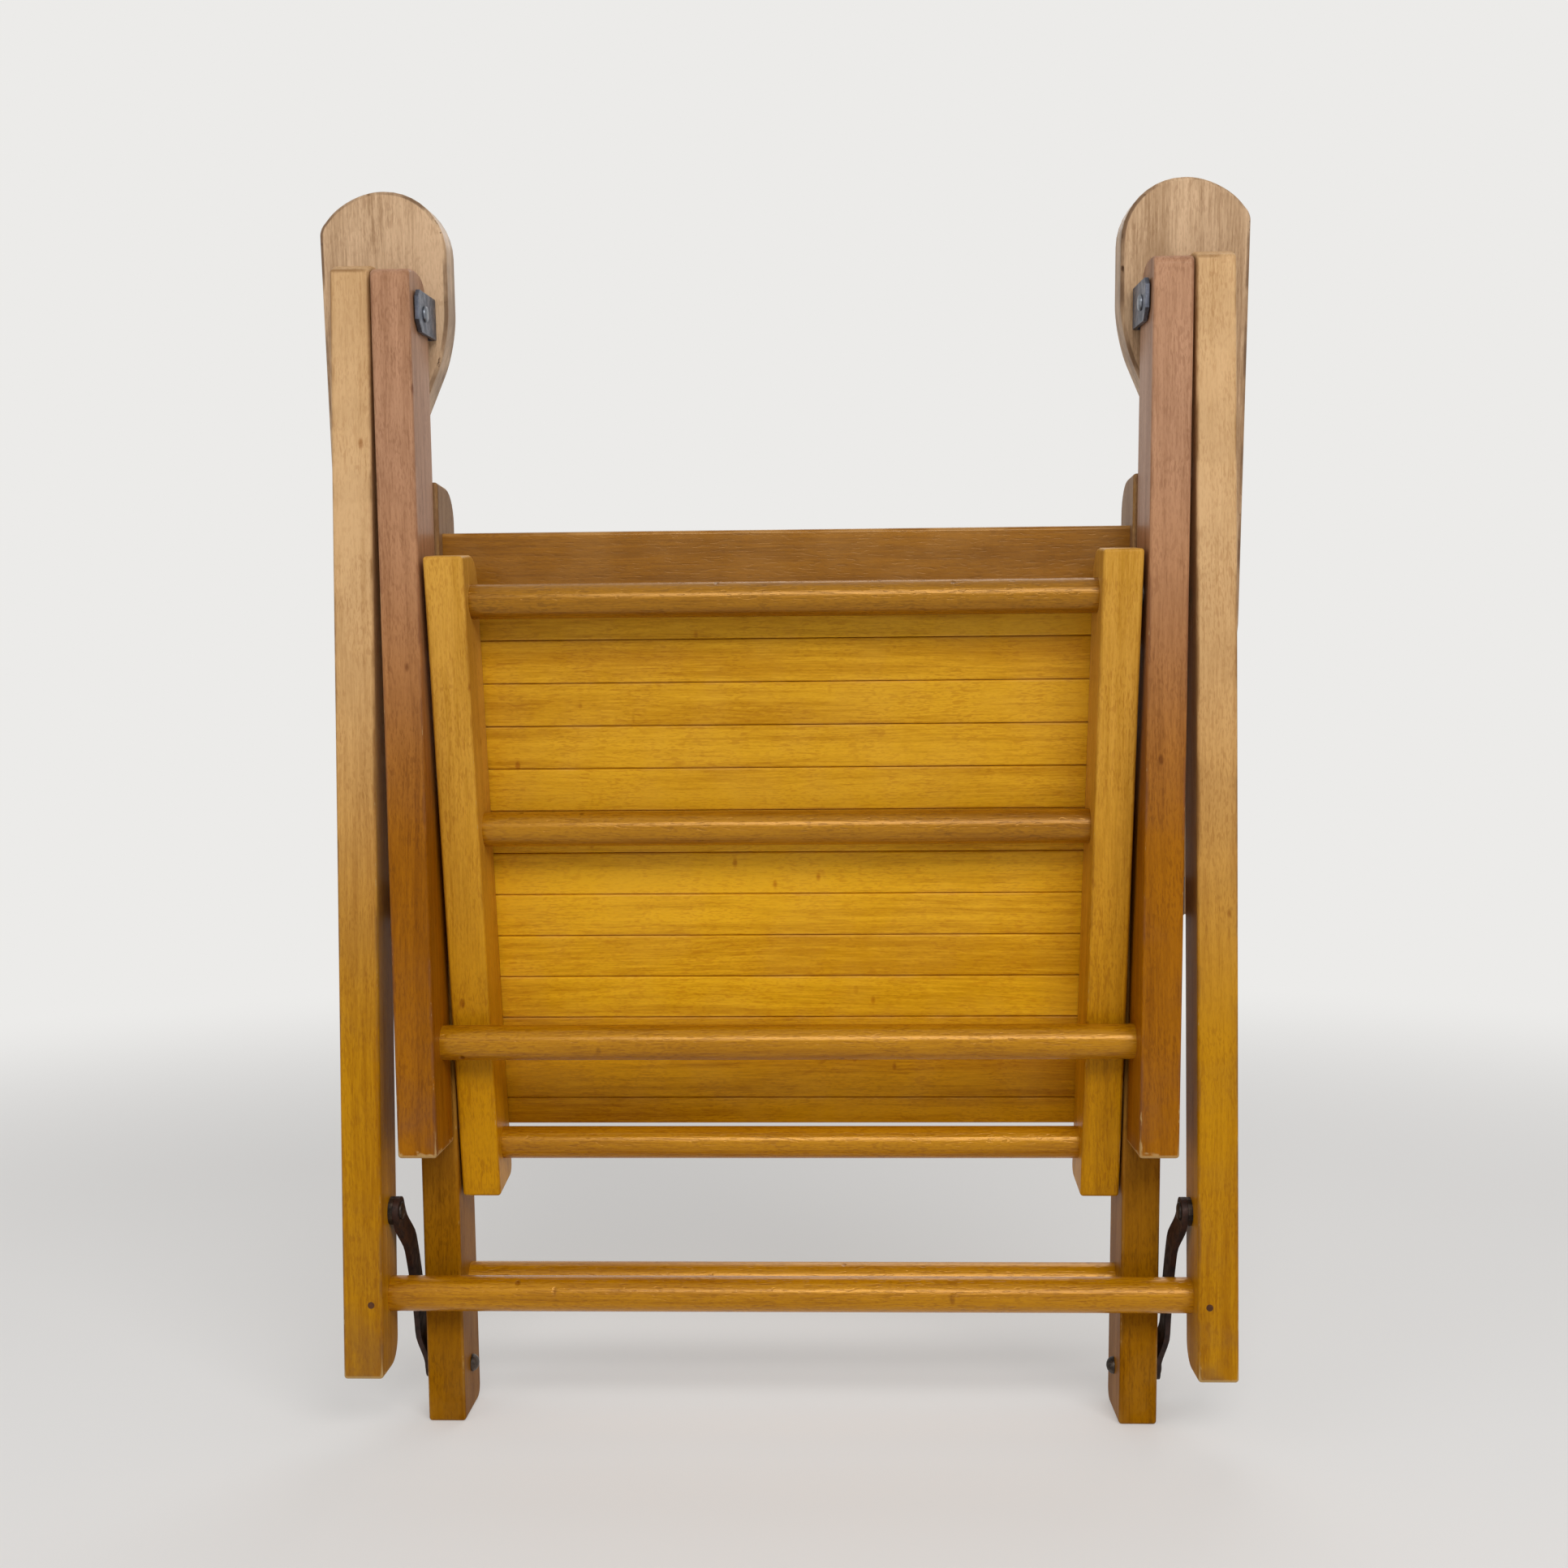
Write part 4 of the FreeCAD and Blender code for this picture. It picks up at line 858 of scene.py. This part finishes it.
@dataclass
class Workshop:
    """Turns shapes into finished pieces that ride on the frame."""

    finishes: Finishes
    count: int = 0
    # How far each piece's figure is shifted on, and where that starts again, in metres
    shifts: tuple[tuple[float, float], ...] = ((0.37, 5.0), (0.61, 7.0), (1.73, 11.0))

    def write_grain(self, shape: Shape, grain: Grain, wear: Wear) -> None:
        """Store the grain coordinates in metres and the wear of every vertex, which also
        carries the arms' painted side shade.

        Args:
            shape: The piece in its own millimetres.
            grain: The axis that the grain follows.
            wear: Gives the wear from 0 at a point.
        """
        self.count += 1
        offset = Vector([step * self.count % end for step, end in self.shifts])
        place_layer = shape.verts.layers.float_vector.new("grain")
        wear_layer = shape.verts.layers.float.new("wear")
        for vertex in shape.verts:
            spot = vertex.co * MM
            if grain is Grain.ACROSS:
                spot = Vector((spot.y, spot.z, spot.x))
            vertex[place_layer] = spot + offset
            vertex[wear_layer] = wear(vertex.co)

    def finish(self, shape: Shape, node: str, kind: str, station: Station, finish: Finish,
               grain: Grain = Grain.LENGTH, wear: Wear = no_wear, side: Side = Side.RIGHT,
               smooth_to: float = 40.0, name: str = "") -> Piece:
        """Place a shape, dress it and hang it on its body.

        Args:
            shape: The right-hand piece in its own millimetres. It is used up.
            node: The CAD node that it stands for.
            kind: The last word of its name, after the node's.
            station: The frame that it is drawn in.
            finish: Its wood or metal finish.
            grain: The axis that its grain follows.
            wear: Gives its wear at a point.
            side: The side that it is for.
            smooth_to: Edges that turn less than this many degrees are smooth.
            name: Its name, where that isn't made of node and kind.

        Returns:
            The finished object.
        """
        name = name or f"{node}_{kind}"
        flip_side(shape, side)
        self.write_grain(shape, grain, wear)
        bmesh.ops.transform(shape, matrix=station.matrix(), verts=shape.verts)
        mesh = bpy.data.meshes.new(name)
        shape.to_mesh(mesh)
        shape.free()
        mesh.shade_smooth()
        mesh.set_sharp_from_angle(angle=math.radians(smooth_to))
        mesh.materials.append(self.finishes.of(finish))
        piece = new_object(name, mesh)
        normals = piece.modifiers.new("even_normals", "WEIGHTED_NORMAL")
        normals.keep_sharp = True
        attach(piece, station.body)
        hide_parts(node)
        LOG.info("%s: %d faces on %s", name, len(mesh.polygons), station.body)
        return piece

    def sides(self, make: Callable[[], Shape], node: str, kind: str, station: Station,
              finish: Finish, wear: Wear = no_wear) -> None:
        """Build a piece for the right side and its twin for the left.

        Args:
            make: Returns the right-hand piece.
            node: The CAD nodes' name without the side.
            kind: The last word of its name.
            station: The frame that it is drawn in.
            finish: Its wood or metal finish.
            wear: Gives its wear at a point.
        """
        for side in Side:
            self.finish(make(), f"{node}_{side.word}", kind, station, finish, wear=wear,
                        side=side)

    def dowel(self, dowel: Dowel, timber: Timber, node: str, station: Station,
              name: str = "") -> None:
        """Build a dowel or rung between a timber and its twin."""
        self.finish(dowel.shape(timber), node, "dowel", station, DOWEL_WOOD, Grain.ACROSS,
                    name=name)

    def board(self, bar: Bar, node: str, station: Station, finish: WoodFinish,
              grain: Grain = Grain.ACROSS) -> None:
        """Build a board."""
        self.finish(bar.shape(), node, "board", station, finish, grain, bar.wear)


# Sub-assemblies


@dataclass(frozen=True)
class Legs:
    """Two legs that turn about the arms' front pivot, with the rung near their feet."""

    packet: Packet
    word: str
    timber: Timber
    rung: Dowel
    finish: WoodFinish
    foot_wear: float = 1.0

    def build(self, shop: Workshop) -> None:
        """Build the legs and the rung."""
        station = self.packet.station(f"{self.word}_legs")
        leg = f"{self.word}_leg"
        shop.sides(self.timber.shape, leg, "timber", station, self.finish,
                   self.timber.wear(self.foot_wear))
        shop.dowel(self.rung, self.timber, f"{leg}_rung", station)


@dataclass(frozen=True)
class RearLegs(Legs):
    """The two outer legs, whose rung is held by locking pins."""

    word: str = "rear"
    timber: Timber = Timber(313.0, 0.0, 28.0, 26.3, 750.7, 43.0, ((1, False, 18.0),),
                            crown=7.0)
    rung: Dowel = Dowel(12.4, 698.0, 6.0, 18.0)
    finish: WoodFinish = REAR_LEG_WOOD
    pin_inset: float = 20.2
    pin_radius: float = 2.5
    pin_length: float = 15.0
    pin_proud: float = 0.3
    pin_ease: float = 0.5


@dataclass(frozen=True)
class FrontLegs(Legs):
    """The two wide front legs inside the rear ones."""

    word: str = "front"
    timber: Timber = Timber(283.0, 0.01953, 27.6, 24.5, 593.2, 53.0,
                            ((1, True, 20.0), (-1, True, 5.0)), crown=5.0)
    rung: Dowel = Dowel(12.5, 517.0, 4.0)
    finish: WoodFinish = FRONT_LEG_WOOD


@dataclass(frozen=True)
class Seat:
    """Two rails, three dowels and the deck of slats."""

    packet: Packet
    rail: Timber = Timber(248.1, 0.01888, 28.0, 32.8, 434.0, 47.0,
                          ((1, False, 9.0), (1, True, 20.0)))
    foot_wear: float = 0.4
    dowel_radius: float = 12.5
    rear_dowel_radius: float = 11.7
    rear_dowel_rise: float = 1.4
    middle_dowel: float = 164.0
    slat_start: float = -1.6
    slat_pitch: float = 31.4
    slat_gap: float = 0.3
    slat_thickness: float = 10.0
    slat_half_length: float = 238.0
    last_slat: float = 20.0
    slat_ease: float = 1.5
    slats: int = 13
    # Slats at the top of the deck without the painted shadow of the rung
    unshaded_slats: int = 10

    def build(self, shop: Workshop) -> None:
        """Build the rails, dowels and slats."""
        station = self.packet.station("seat")
        shop.sides(self.rail.shape, "seat_rail", "timber", station, SEAT_WOOD,
                   self.rail.wear(self.foot_wear))
        rear = station.span - self.rear_dowel_rise
        for word, drop, radius in (("front", 0.0, self.dowel_radius),
                                   ("middle", self.middle_dowel, self.dowel_radius),
                                   ("rear", rear, self.rear_dowel_radius)):
            shop.dowel(Dowel(radius, drop), self.rail, f"seat_dowel_{word}", station,
                       f"seat_{word}_dowel")
        self.build_deck(shop, station)

    def build_deck(self, shop: Workshop, station: Station) -> None:
        """Build the slats across the rails."""
        face = self.rail.depth / 2
        for i in range(self.slats):
            start = self.slat_start + self.slat_pitch * i
            width = self.slat_pitch - self.slat_gap
            if i == self.slats - 1:
                width = self.last_slat
            low = Vector((-self.slat_half_length, face, -(start + width)))
            high = Vector((self.slat_half_length, face + self.slat_thickness, -start))
            # The last slats get the painted shadow of the rung
            shop.board(Bar(low, high, self.slat_ease), f"seat_slat_{i + 1:02d}", station,
                       SLAT_WOOD if i < self.unshaded_slats else SHADED_SLAT_WOOD)


@dataclass(frozen=True)
class Back:
    """Two posts, the top rail, the lower rail with upright slats, and the rung."""

    packet: Packet
    post: Timber = Timber(268.9, 0.0187, 27.2, 488.2, 198.3, 53.0,
                          ((1, True, 24.0), (1, False, 10.0)))
    foot_wear: float = 0.5
    rung: Dowel = Dowel(12.0, 102.5, 7.0)
    rail_housing: float = 12.0
    rail_rise: float = 452.7
    rail_height: float = 85.0
    rail_front: float = -15.0
    rail_thickness: float = 22.0
    rail_ease: float = 3.0
    low_rise: float = 242.0
    low_height: float = 42.0
    low_thickness: float = 11.0
    low_ease: float = 1.8
    slat_rise: float = 436.0
    slat_width: float = 38.0
    slat_thickness: float = 7.5
    slat_pitch: float = 62.0
    slat_foot: float = 2.0
    slat_ease: float = 1.5
    slats: int = 7

    def build(self, shop: Workshop) -> None:
        """Build the posts, rails, slats and rung."""
        station = self.packet.station("back")
        shop.sides(self.post.shape, "back_post", "timber", station, POST_WOOD,
                   self.post.wear(self.foot_wear))
        shop.dowel(self.rung, self.post, "back_rung", station)
        self.build_rails(shop, station)

    def build_rails(self, shop: Workshop, station: Station) -> None:
        """Build the two rails and the upright slats between them."""
        behind = self.rail_front + self.rail_thickness
        slat_back = behind + self.slat_thickness
        rails = (
            ("top", self.rail_front, behind, self.rail_rise, self.rail_height,
             self.rail_ease),
            ("lower", slat_back, slat_back + self.low_thickness, self.low_rise,
             self.low_height, self.low_ease))
        for word, front, back, rise, height, ease in rails:
            half = self.post.inner_at(rise - height) + self.rail_housing
            low, high = Vector((-half, front, rise - height)), Vector((half, back, rise))
            shop.board(Bar(low, high, ease), f"back_{word}_rail", station, RAIL_WOOD)
        foot = self.low_rise - self.low_height + self.slat_foot
        for i in range(self.slats):
            middle = self.slat_pitch * (i - (self.slats - 1) / 2)
            low = Vector((middle - self.slat_width / 2, behind, foot))
            high = Vector((middle + self.slat_width / 2, slat_back, self.slat_rise))
            shop.board(Bar(low, high, self.slat_ease), f"back_slat_{i + 1}", station,
                       RAIL_WOOD, Grain.LENGTH)


@dataclass(frozen=True)
class Bracket:
    """A steel angle bracket with two cut corners, in the arm's millimetres."""

    word: str
    face: float
    plate: float
    low: float
    reach: float
    top: float = 36.0
    half_length: float = 14.4
    shift: float = 0.8
    chamfer: float = 8.0
    small_chamfer: float = 5.0
    bend: float = 0.9
    ease: float = 0.35

    def shape(self, along: float) -> Shape:
        """Return the right-hand bracket.

        Args:
            along: Its pivot's place along the arm.

        Returns:
            The bracket.
        """
        shape = bmesh.new()
        inner, tip = self.face - self.plate, self.face + self.reach
        line = [(inner, -self.low), (inner, self.top), (tip, self.top),
                (tip, self.top - self.plate), (self.face, self.top - self.plate),
                (self.face, -self.low)]
        along += self.shift
        high = along + self.half_length
        shape.faces.new([shape.verts.new((x, y, high)) for x, y in line])
        extrude(shape, Vector((0.0, 0.0, -self.half_length * 2)))
        for sign, depth in ((-1.0, self.chamfer), (1.0, self.small_chamfer)):
            spot = Vector((0.0, -self.low + depth, along + sign * self.half_length))
            made = cut(shape, spot, Vector((0.0, -1.0, sign)).normalized(), clear=True)
            rim = [g for g in made["geom_cut"] if isinstance(g, bmesh.types.BMEdge)]
            bmesh.ops.edgeloop_fill(shape, edges=rim)
        bend = [e for e in shape.edges
                if all(abs(v.co.x - inner) < 0.01 and abs(v.co.y - self.top) < 0.01
                       for v in e.verts)]
        soften(shape, bend, self.plate * self.bend, 5)
        bmesh.ops.recalc_face_normals(shape, faces=shape.faces)
        soften(shape, sharp_edges(shape), self.ease, 2)
        return shape


FRONT_BRACKET = Bracket("front", 254.4, 3.0, 17.0, 25.0)
REAR_BRACKET = Bracket("rear", 275.6, 2.5, 13.0, 20.0)


@dataclass(frozen=True)
class Arms:
    """Two arm boards on steel angle brackets."""

    packet: Packet
    underside: float = 36.0
    thickness: float = 28.0
    edge: float = 3.0
    edge_share: float = 0.65
    edge_wear: float = 0.85
    # Wear value on the side faces, which paints shade there in the arm's rubbed colour
    side_shade: float = 0.45
    # Corners of the plan: across, up the arm from the pivot, corner radius
    plan: tuple[tuple[float, float, float], ...] = (
        (335.0, 66.5, 12.0), (312.9, 92.8, 50.0), (243.0, 92.8, 44.0),
        (243.0, -15.0, 110.0), (278.8, -97.0, 55.0), (278.8, -441.07, 10.0),
        (313.0, -441.07, 10.0), (332.2, -225.0, 0.0))

    def board(self) -> Shape:
        """Return the right-hand arm board with a rounded plan and rounded edges."""
        shape = bmesh.new()
        corners = [shape.verts.new((x, self.underside, z)) for x, z, radius in self.plan]
        shape.faces.new(corners)
        targets = []
        for i, (x, z, radius) in enumerate(self.plan):
            here = Vector((x, z))
            last = Vector(self.plan[i - 1][:2]) - here
            following = Vector(self.plan[(i + 1) % len(self.plan)][:2]) - here
            turn = math.pi - last.angle(following)
            targets.append((corners[i].co.copy(), radius * math.tan(turn / 2)))
        for spot, reach in targets:
            if reach > 0.0:
                vertex = min(shape.verts, key=lambda v: (v.co - spot).length)
                bmesh.ops.bevel(shape, geom=[vertex], offset=reach, offset_type="OFFSET",
                                segments=10, profile=0.5, affect="VERTICES", material=-1)
        extrude(shape, Vector((0.0, self.thickness, 0.0)))
        rim = [e for e in shape.edges if abs(e.verts[0].co.y - e.verts[1].co.y) < 0.01]
        soften(shape, rim, self.edge, 6)
        return shape

    def wear(self, spot: Vector) -> float:
        """Return the wear at a point: most on the rounded edge, and a lower value on the
        sides that paints shade on them.
        """
        half = self.thickness / 2
        off = abs(spot.y - self.underside - half)
        if off > half - 0.05:
            return 0.0
        worn = off > half - self.edge * self.edge_share
        return self.edge_wear if worn else self.side_shade

    def build(self, shop: Workshop) -> None:
        """Build the boards and their brackets."""
        station = self.packet.station("arms")
        for side in Side:
            shop.finish(self.board(), f"arm_{side.word}", "board", station, ARM_WOOD,
                        wear=self.wear, side=side)
            for bracket, along in ((FRONT_BRACKET, 0.0),
                                   (REAR_BRACKET, -station.span)):
                shop.finish(bracket.shape(along),
                            f"arm_bracket_{bracket.word}_{side.word}", "steel", station,
                            BRACKET_STEEL, side=side,
                            name=f"arm_{bracket.word}_angle_{side.word}")


@dataclass(frozen=True)
class Links:
    """The two bowed steel straps between the rear legs and the back posts."""

    packet: Packet
    half_width: float = 10.0
    thickness: float = 4.0
    bow: float = 8.0
    ease: float = 0.7
    steps: int = 40
    # The outer face: how far down the strap, how far from the middle plane
    course: tuple[tuple[float, float], ...] = (
        (9.0, 281.6), (32.0, 277.3), (106.0, 277.2), (133.0, 271.4))

    def face_at(self, drop: float) -> float:
        """Return the outer face's distance from the middle plane, down the strap."""
        for (low, first), (high, second) in zip(self.course, self.course[1:]):
            if drop < high:
                share = max(0.0, (drop - low) / (high - low))
                share = share * share * (3.0 - 2.0 * share)
                return first + (second - first) * share
        return self.course[-1][1]

    def strap(self) -> Shape:
        """Return the right-hand strap with round eyes, bowed back and swept inward."""
        shape = bmesh.new()
        bmesh.ops.create_grid(shape, x_segments=4, y_segments=self.steps, size=0.5)
        span = self.packet.station("links").span
        reach = self.half_width
        for vertex in shape.verts:
            across, share = vertex.co.x, 0.5 - vertex.co.y
            eased = 0.5 - 0.5 * math.cos(math.pi * share)
            drop = -reach + (span + 2 * reach) * eased
            over = max(0.0, -drop, drop - span)
            half = math.sqrt(max(reach * reach - over * over, 0.02))
            inside = max(0.0, min(1.0, drop / span))
            bowed = self.bow * math.sin(math.pi * inside)
            vertex.co = Vector((self.face_at(drop), bowed + across * 2.0 * half, -drop))
        bmesh.ops.remove_doubles(shape, verts=shape.verts, dist=0.05)
        bmesh.ops.recalc_face_normals(shape, faces=shape.faces)
        extrude(shape, Vector((-self.thickness, 0.0, 0.0)))
        soften(shape, sharp_edges(shape), self.ease, 2)
        return shape

    def build(self, shop: Workshop) -> None:
        """Build the two straps."""
        shop.sides(self.strap, "link", "strap", self.packet.station("links"), LINK_STEEL)


@dataclass(frozen=True)
class Fasteners:
    """Bolts, rivets and pins, each a pair of turned pieces along X."""

    packet: Packet
    legs: RearLegs
    fronts: FrontLegs
    seat: Seat
    back: Back
    links: Links
    pin: float = 4.0
    pin_reach: float = 14.0
    head: Head = Head(8.0, 3.0)
    nut: Head = Head(5.6, 2.2)
    rivet: float = 3.0
    rivet_head: Head = Head(6.2, 1.8)
    rivet_depth: float = 12.0
    dome: Head = Head(6.2, 5.2, 0.0, 0.0, 78.75, 8)
    face_gap: float = 0.2
    seat_gap: float = 0.05
    smooth_to: float = 30.0
    plain_nodes: tuple[str, ...] = (
        "arm_rear_bolts", "back_inserts", "bracket_screws", "leg_washers", "seat_washers",
        "link_spacers")

    def pair(self, shop: Workshop, node: str, station: Station, stations: Stations,
             up: float = 0.0, back: float = 0.0, finish: MetalFinish = BOLT_STEEL) -> None:
        """Turn a fastener for the right side and its twin for the left.

        Args:
            shop: The workshop that finishes it.
            node: The CAD node that it stands for.
            station: The frame that it is drawn in.
            stations: Position along X and radius of each ring.
            up: Its axis above the frame's origin.
            back: Its axis behind the frame's origin.
            finish: Its metal.
        """
        shape = spun_pair(stations)
        bmesh.ops.translate(shape, vec=Vector((0.0, back, up)), verts=shape.verts)
        shop.finish(shape, node, "metal", station, finish, Grain.ACROSS,
                    smooth_to=self.smooth_to)

    def build(self, shop: Workshop) -> None:
        """Build every visible fastener."""
        self.build_pivots(shop)
        self.build_rivets(shop)
        self.build_pins(shop)

    def build_pivots(self, shop: Workshop) -> None:
        """Build the bolts at the arms' front pivots and at the seat's pivots."""
        front = self.packet.station("front_legs")
        plate = FRONT_BRACKET.face - FRONT_BRACKET.plate - self.face_gap
        face = self.legs.timber.outer + self.face_gap
        self.pair(shop, "main_pivot_bolts", front,
                  self.nut.stations(plate, -1) + self.head.bolt(plate, face, self.pin),
                  finish=PIVOT_STEEL)
        drop = self.packet.seat_drop
        tail = self.seat.rail.outer - self.pin_reach
        face = self.fronts.timber.outer_at(-drop) + self.face_gap * 2
        self.pair(shop, "seat_front_pivots", front, self.head.bolt(tail, face, self.pin),
                  -drop)
        tail = self.seat.rail.outer_at(-self.packet.station("seat").span) - self.pin_reach
        face = self.back.post.outer + self.face_gap * 1.5
        self.pair(shop, "seat_rear_pivots", self.packet.station("back"),
                  self.head.bolt(tail, face, self.pin))

    def build_rivets(self, shop: Workshop) -> None:
        """Build the straps' rivets and the domed bolts on the posts' inner faces."""
        packet, straps = self.packet, self.packet.station("links")
        face = self.links.face_at(0.0) - self.links.thickness - self.face_gap
        end = self.legs.timber.inner_at(0.0) + self.rivet_depth
        shank = [(face, self.rivet), (end, self.rivet)]
        self.pair(shop, "link_top_rivets", packet.station("rear_legs"),
                  self.rivet_head.stations(face, -1) + shank, -packet.link_drop,
                  packet.link_back)
        face = self.links.face_at(straps.span)
        rings = self.rivet_head.bolt(face - self.links.thickness, face + self.seat_gap,
                                     self.rivet)
        self.pair(shop, "link_low_rivets", straps, rings, -straps.span)
        low = packet.seat_drop + packet.seat_run - packet.link_drop - packet.link_run
        face = self.back.post.inner_at(low) - self.face_gap
        end = self.back.post.outer_at(low) - self.face_gap
        shank = [(face, self.rivet), (end, self.rivet)]
        self.pair(shop, "link_dome_bolts", packet.station("back"),
                  self.dome.stations(face, -1) + shank, low)

    def build_pins(self, shop: Workshop) -> None:
        """Build the locking pins of the rear rung, set into the legs' front faces."""
        legs = self.legs
        back = legs.pin_length / 2 - legs.timber.depth / 2 - legs.pin_proud
        shape = bmesh.new()
        for side in Side:
            across = side.value * (legs.timber.outer - legs.pin_inset)
            place = (Matrix.Translation((across, back, -legs.rung.drop))
                     @ Matrix.Rotation(math.radians(90.0), 4, "X"))
            bmesh.ops.create_cone(shape, cap_ends=True, segments=32, matrix=place,
                                  radius1=legs.pin_radius, radius2=legs.pin_radius,
                                  depth=legs.pin_length)
        soften(shape, sharp_edges(shape), legs.pin_ease, 2)
        shop.finish(shape, "rung_locking_pins", "metal",
                    self.packet.station("rear_legs"), PIN_STEEL)

    def dress_frame(self, finishes: Finishes) -> None:
        """Give the fasteners that keep their solids their metal."""
        for name in self.plain_nodes:
            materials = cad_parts[name].data.materials
            materials.clear()
            materials.append(finishes.of(BOLT_STEEL))


# Stage, lamps and camera


@dataclass(frozen=True)
class View:
    """The camera, in metres and degrees."""

    across: float = 0.0391
    away: float = -1.2376
    up: float = 0.4925
    yaw: float = 1.871
    pitch: float = 1.247
    roll: float = -0.443
    focal_px: float = 2093.0
    image_px: float = 1932.0
    sensor_mm: float = 36.0
    clip_start: float = 0.05

    def build(self) -> None:
        """Create the camera and make it the scene's."""
        lens = bpy.data.cameras.new("camera")
        lens.sensor_width = self.sensor_mm
        lens.lens = self.sensor_mm * self.focal_px / self.image_px
        lens.clip_start = self.clip_start
        camera = new_object("camera", lens)
        place = Matrix.Translation((self.across, self.away, self.up))
        for angle, axis in ((self.yaw, "Z"), (90.0 - self.pitch, "X"), (self.roll, "Z")):
            place = place @ Matrix.Rotation(math.radians(angle), 4, axis)
        camera.matrix_world = place
        bpy.context.scene.camera = camera


@dataclass(frozen=True)
class Lamp:
    """A soft lamp aimed at the middle of the chair, in metres and watts."""

    name: str
    spot: tuple[float, float, float]
    size: tuple[float, float]
    power: float
    target: tuple[float, float, float] = (0.0, 0.0, 0.45)

    def build(self) -> None:
        """Create the lamp."""
        light = bpy.data.lights.new(self.name, "AREA")
        light.shape = "RECTANGLE"
        light.size, light.size_y = self.size
        light.energy = self.power
        aim = Vector(self.target) - Vector(self.spot)
        turn = aim.to_track_quat("-Z", "Y").to_matrix().to_4x4()
        new_object(self.name, light).matrix_world = Matrix.Translation(self.spot) @ turn


@dataclass(frozen=True)
class Studio:
    """Pale floor, even world light and soft lamps."""

    floor_colour: Colour = srgb(240, 238, 236)
    backdrop: Colour = srgb(236, 235, 233)
    world_light: float = 0.37
    floor_half: float = 30.0
    floor_roughness: float = 0.85
    floor_gloss: float = 0.2
    near_share: float = 0.3
    fade_start: float = 0.9
    fade_end: float = 2.4
    lamps: tuple[Lamp, ...] = (
        Lamp("key", (0.65, -2.35, 2.0), (2.5, 0.9), 47.5),
        Lamp("fill", (-2.0, -1.5, 1.3), (1.8, 1.8), 8.0),
        Lamp("rim", (0.4, 1.8, 2.2), (1.4, 1.4), 9.0))

    def build(self) -> None:
        """Create the floor, the world and the lamps."""
        self.build_floor()
        self.build_world()
        for lamp in self.lamps:
            lamp.build()
        bpy.context.scene.view_settings.view_transform = "Standard"

    def build_floor(self) -> None:
        """Create the plain floor, which fades into the backdrop away from the chair."""
        shape = bmesh.new()
        bmesh.ops.create_grid(shape, x_segments=1, y_segments=1, size=self.floor_half)
        mesh = bpy.data.meshes.new("floor")
        shape.to_mesh(mesh)
        shape.free()
        material, w = new_material("floor_paint")
        paint = w.node("ShaderNodeBsdfPrincipled", {
            "Base Color": self.floor_colour, "Roughness": self.floor_roughness,
            "Specular IOR Level": self.floor_gloss})
        reach = w.node("ShaderNodeVectorMath", {0: w.place()}, operation="LENGTH")
        far = w.window(reach.outputs["Value"], self.fade_start, self.fade_end,
                       self.near_share, 1.0)
        pale = w.node("ShaderNodeEmission", {"Color": self.backdrop})
        mixed = w.mix_shaders(w.times(far, self.seen(w)), paint.outputs[0], pale.outputs[0])
        w.node("ShaderNodeOutputMaterial", {"Surface": mixed})
        mesh.materials.append(material)
        new_object("floor", mesh)

    def seen(self, w: Wiring) -> Socket:
        """Return 1 for rays that show the backdrop and 0 for rays that only light."""
        rays = w.node("ShaderNodeLightPath").outputs
        seen = w.math("MAXIMUM", rays["Is Camera Ray"], rays["Is Glossy Ray"])
        return w.math("MAXIMUM", seen, rays["Is Transmission Ray"])

    def build_world(self) -> None:
        """Create the even light, with a pale backdrop for the camera."""
        world = bpy.data.worlds.new("studio")
        world.use_nodes = True
        world.node_tree.nodes.clear()
        w = Wiring(world.node_tree)
        light = w.node("ShaderNodeBackground", {
            "Color": (1.0, 1.0, 1.0, 1.0), "Strength": self.world_light})
        pale = w.node("ShaderNodeBackground", {"Color": self.backdrop, "Strength": 1.0})
        mixed = w.mix_shaders(self.seen(w), light.outputs[0], pale.outputs[0])
        w.node("ShaderNodeOutputWorld", {"Surface": mixed})
        bpy.context.scene.world = world


def main() -> None:
    """Build the dressed armchair on the frame."""
    logging.basicConfig(level=logging.INFO, format="%(name)s: %(message)s")
    packet = Packet()
    shop = Workshop(Finishes())
    Studio().build()
    View().build()
    legs, fronts, seat = RearLegs(packet), FrontLegs(packet), Seat(packet)
    back, links = Back(packet), Links(packet)
    fasteners = Fasteners(packet, legs, fronts, seat, back, links)
    for part in (legs, fronts, seat, back, Arms(packet), links, fasteners):
        part.build(shop)
    fasteners.dress_frame(shop.finishes)


if __name__ == "__main__":
    main()
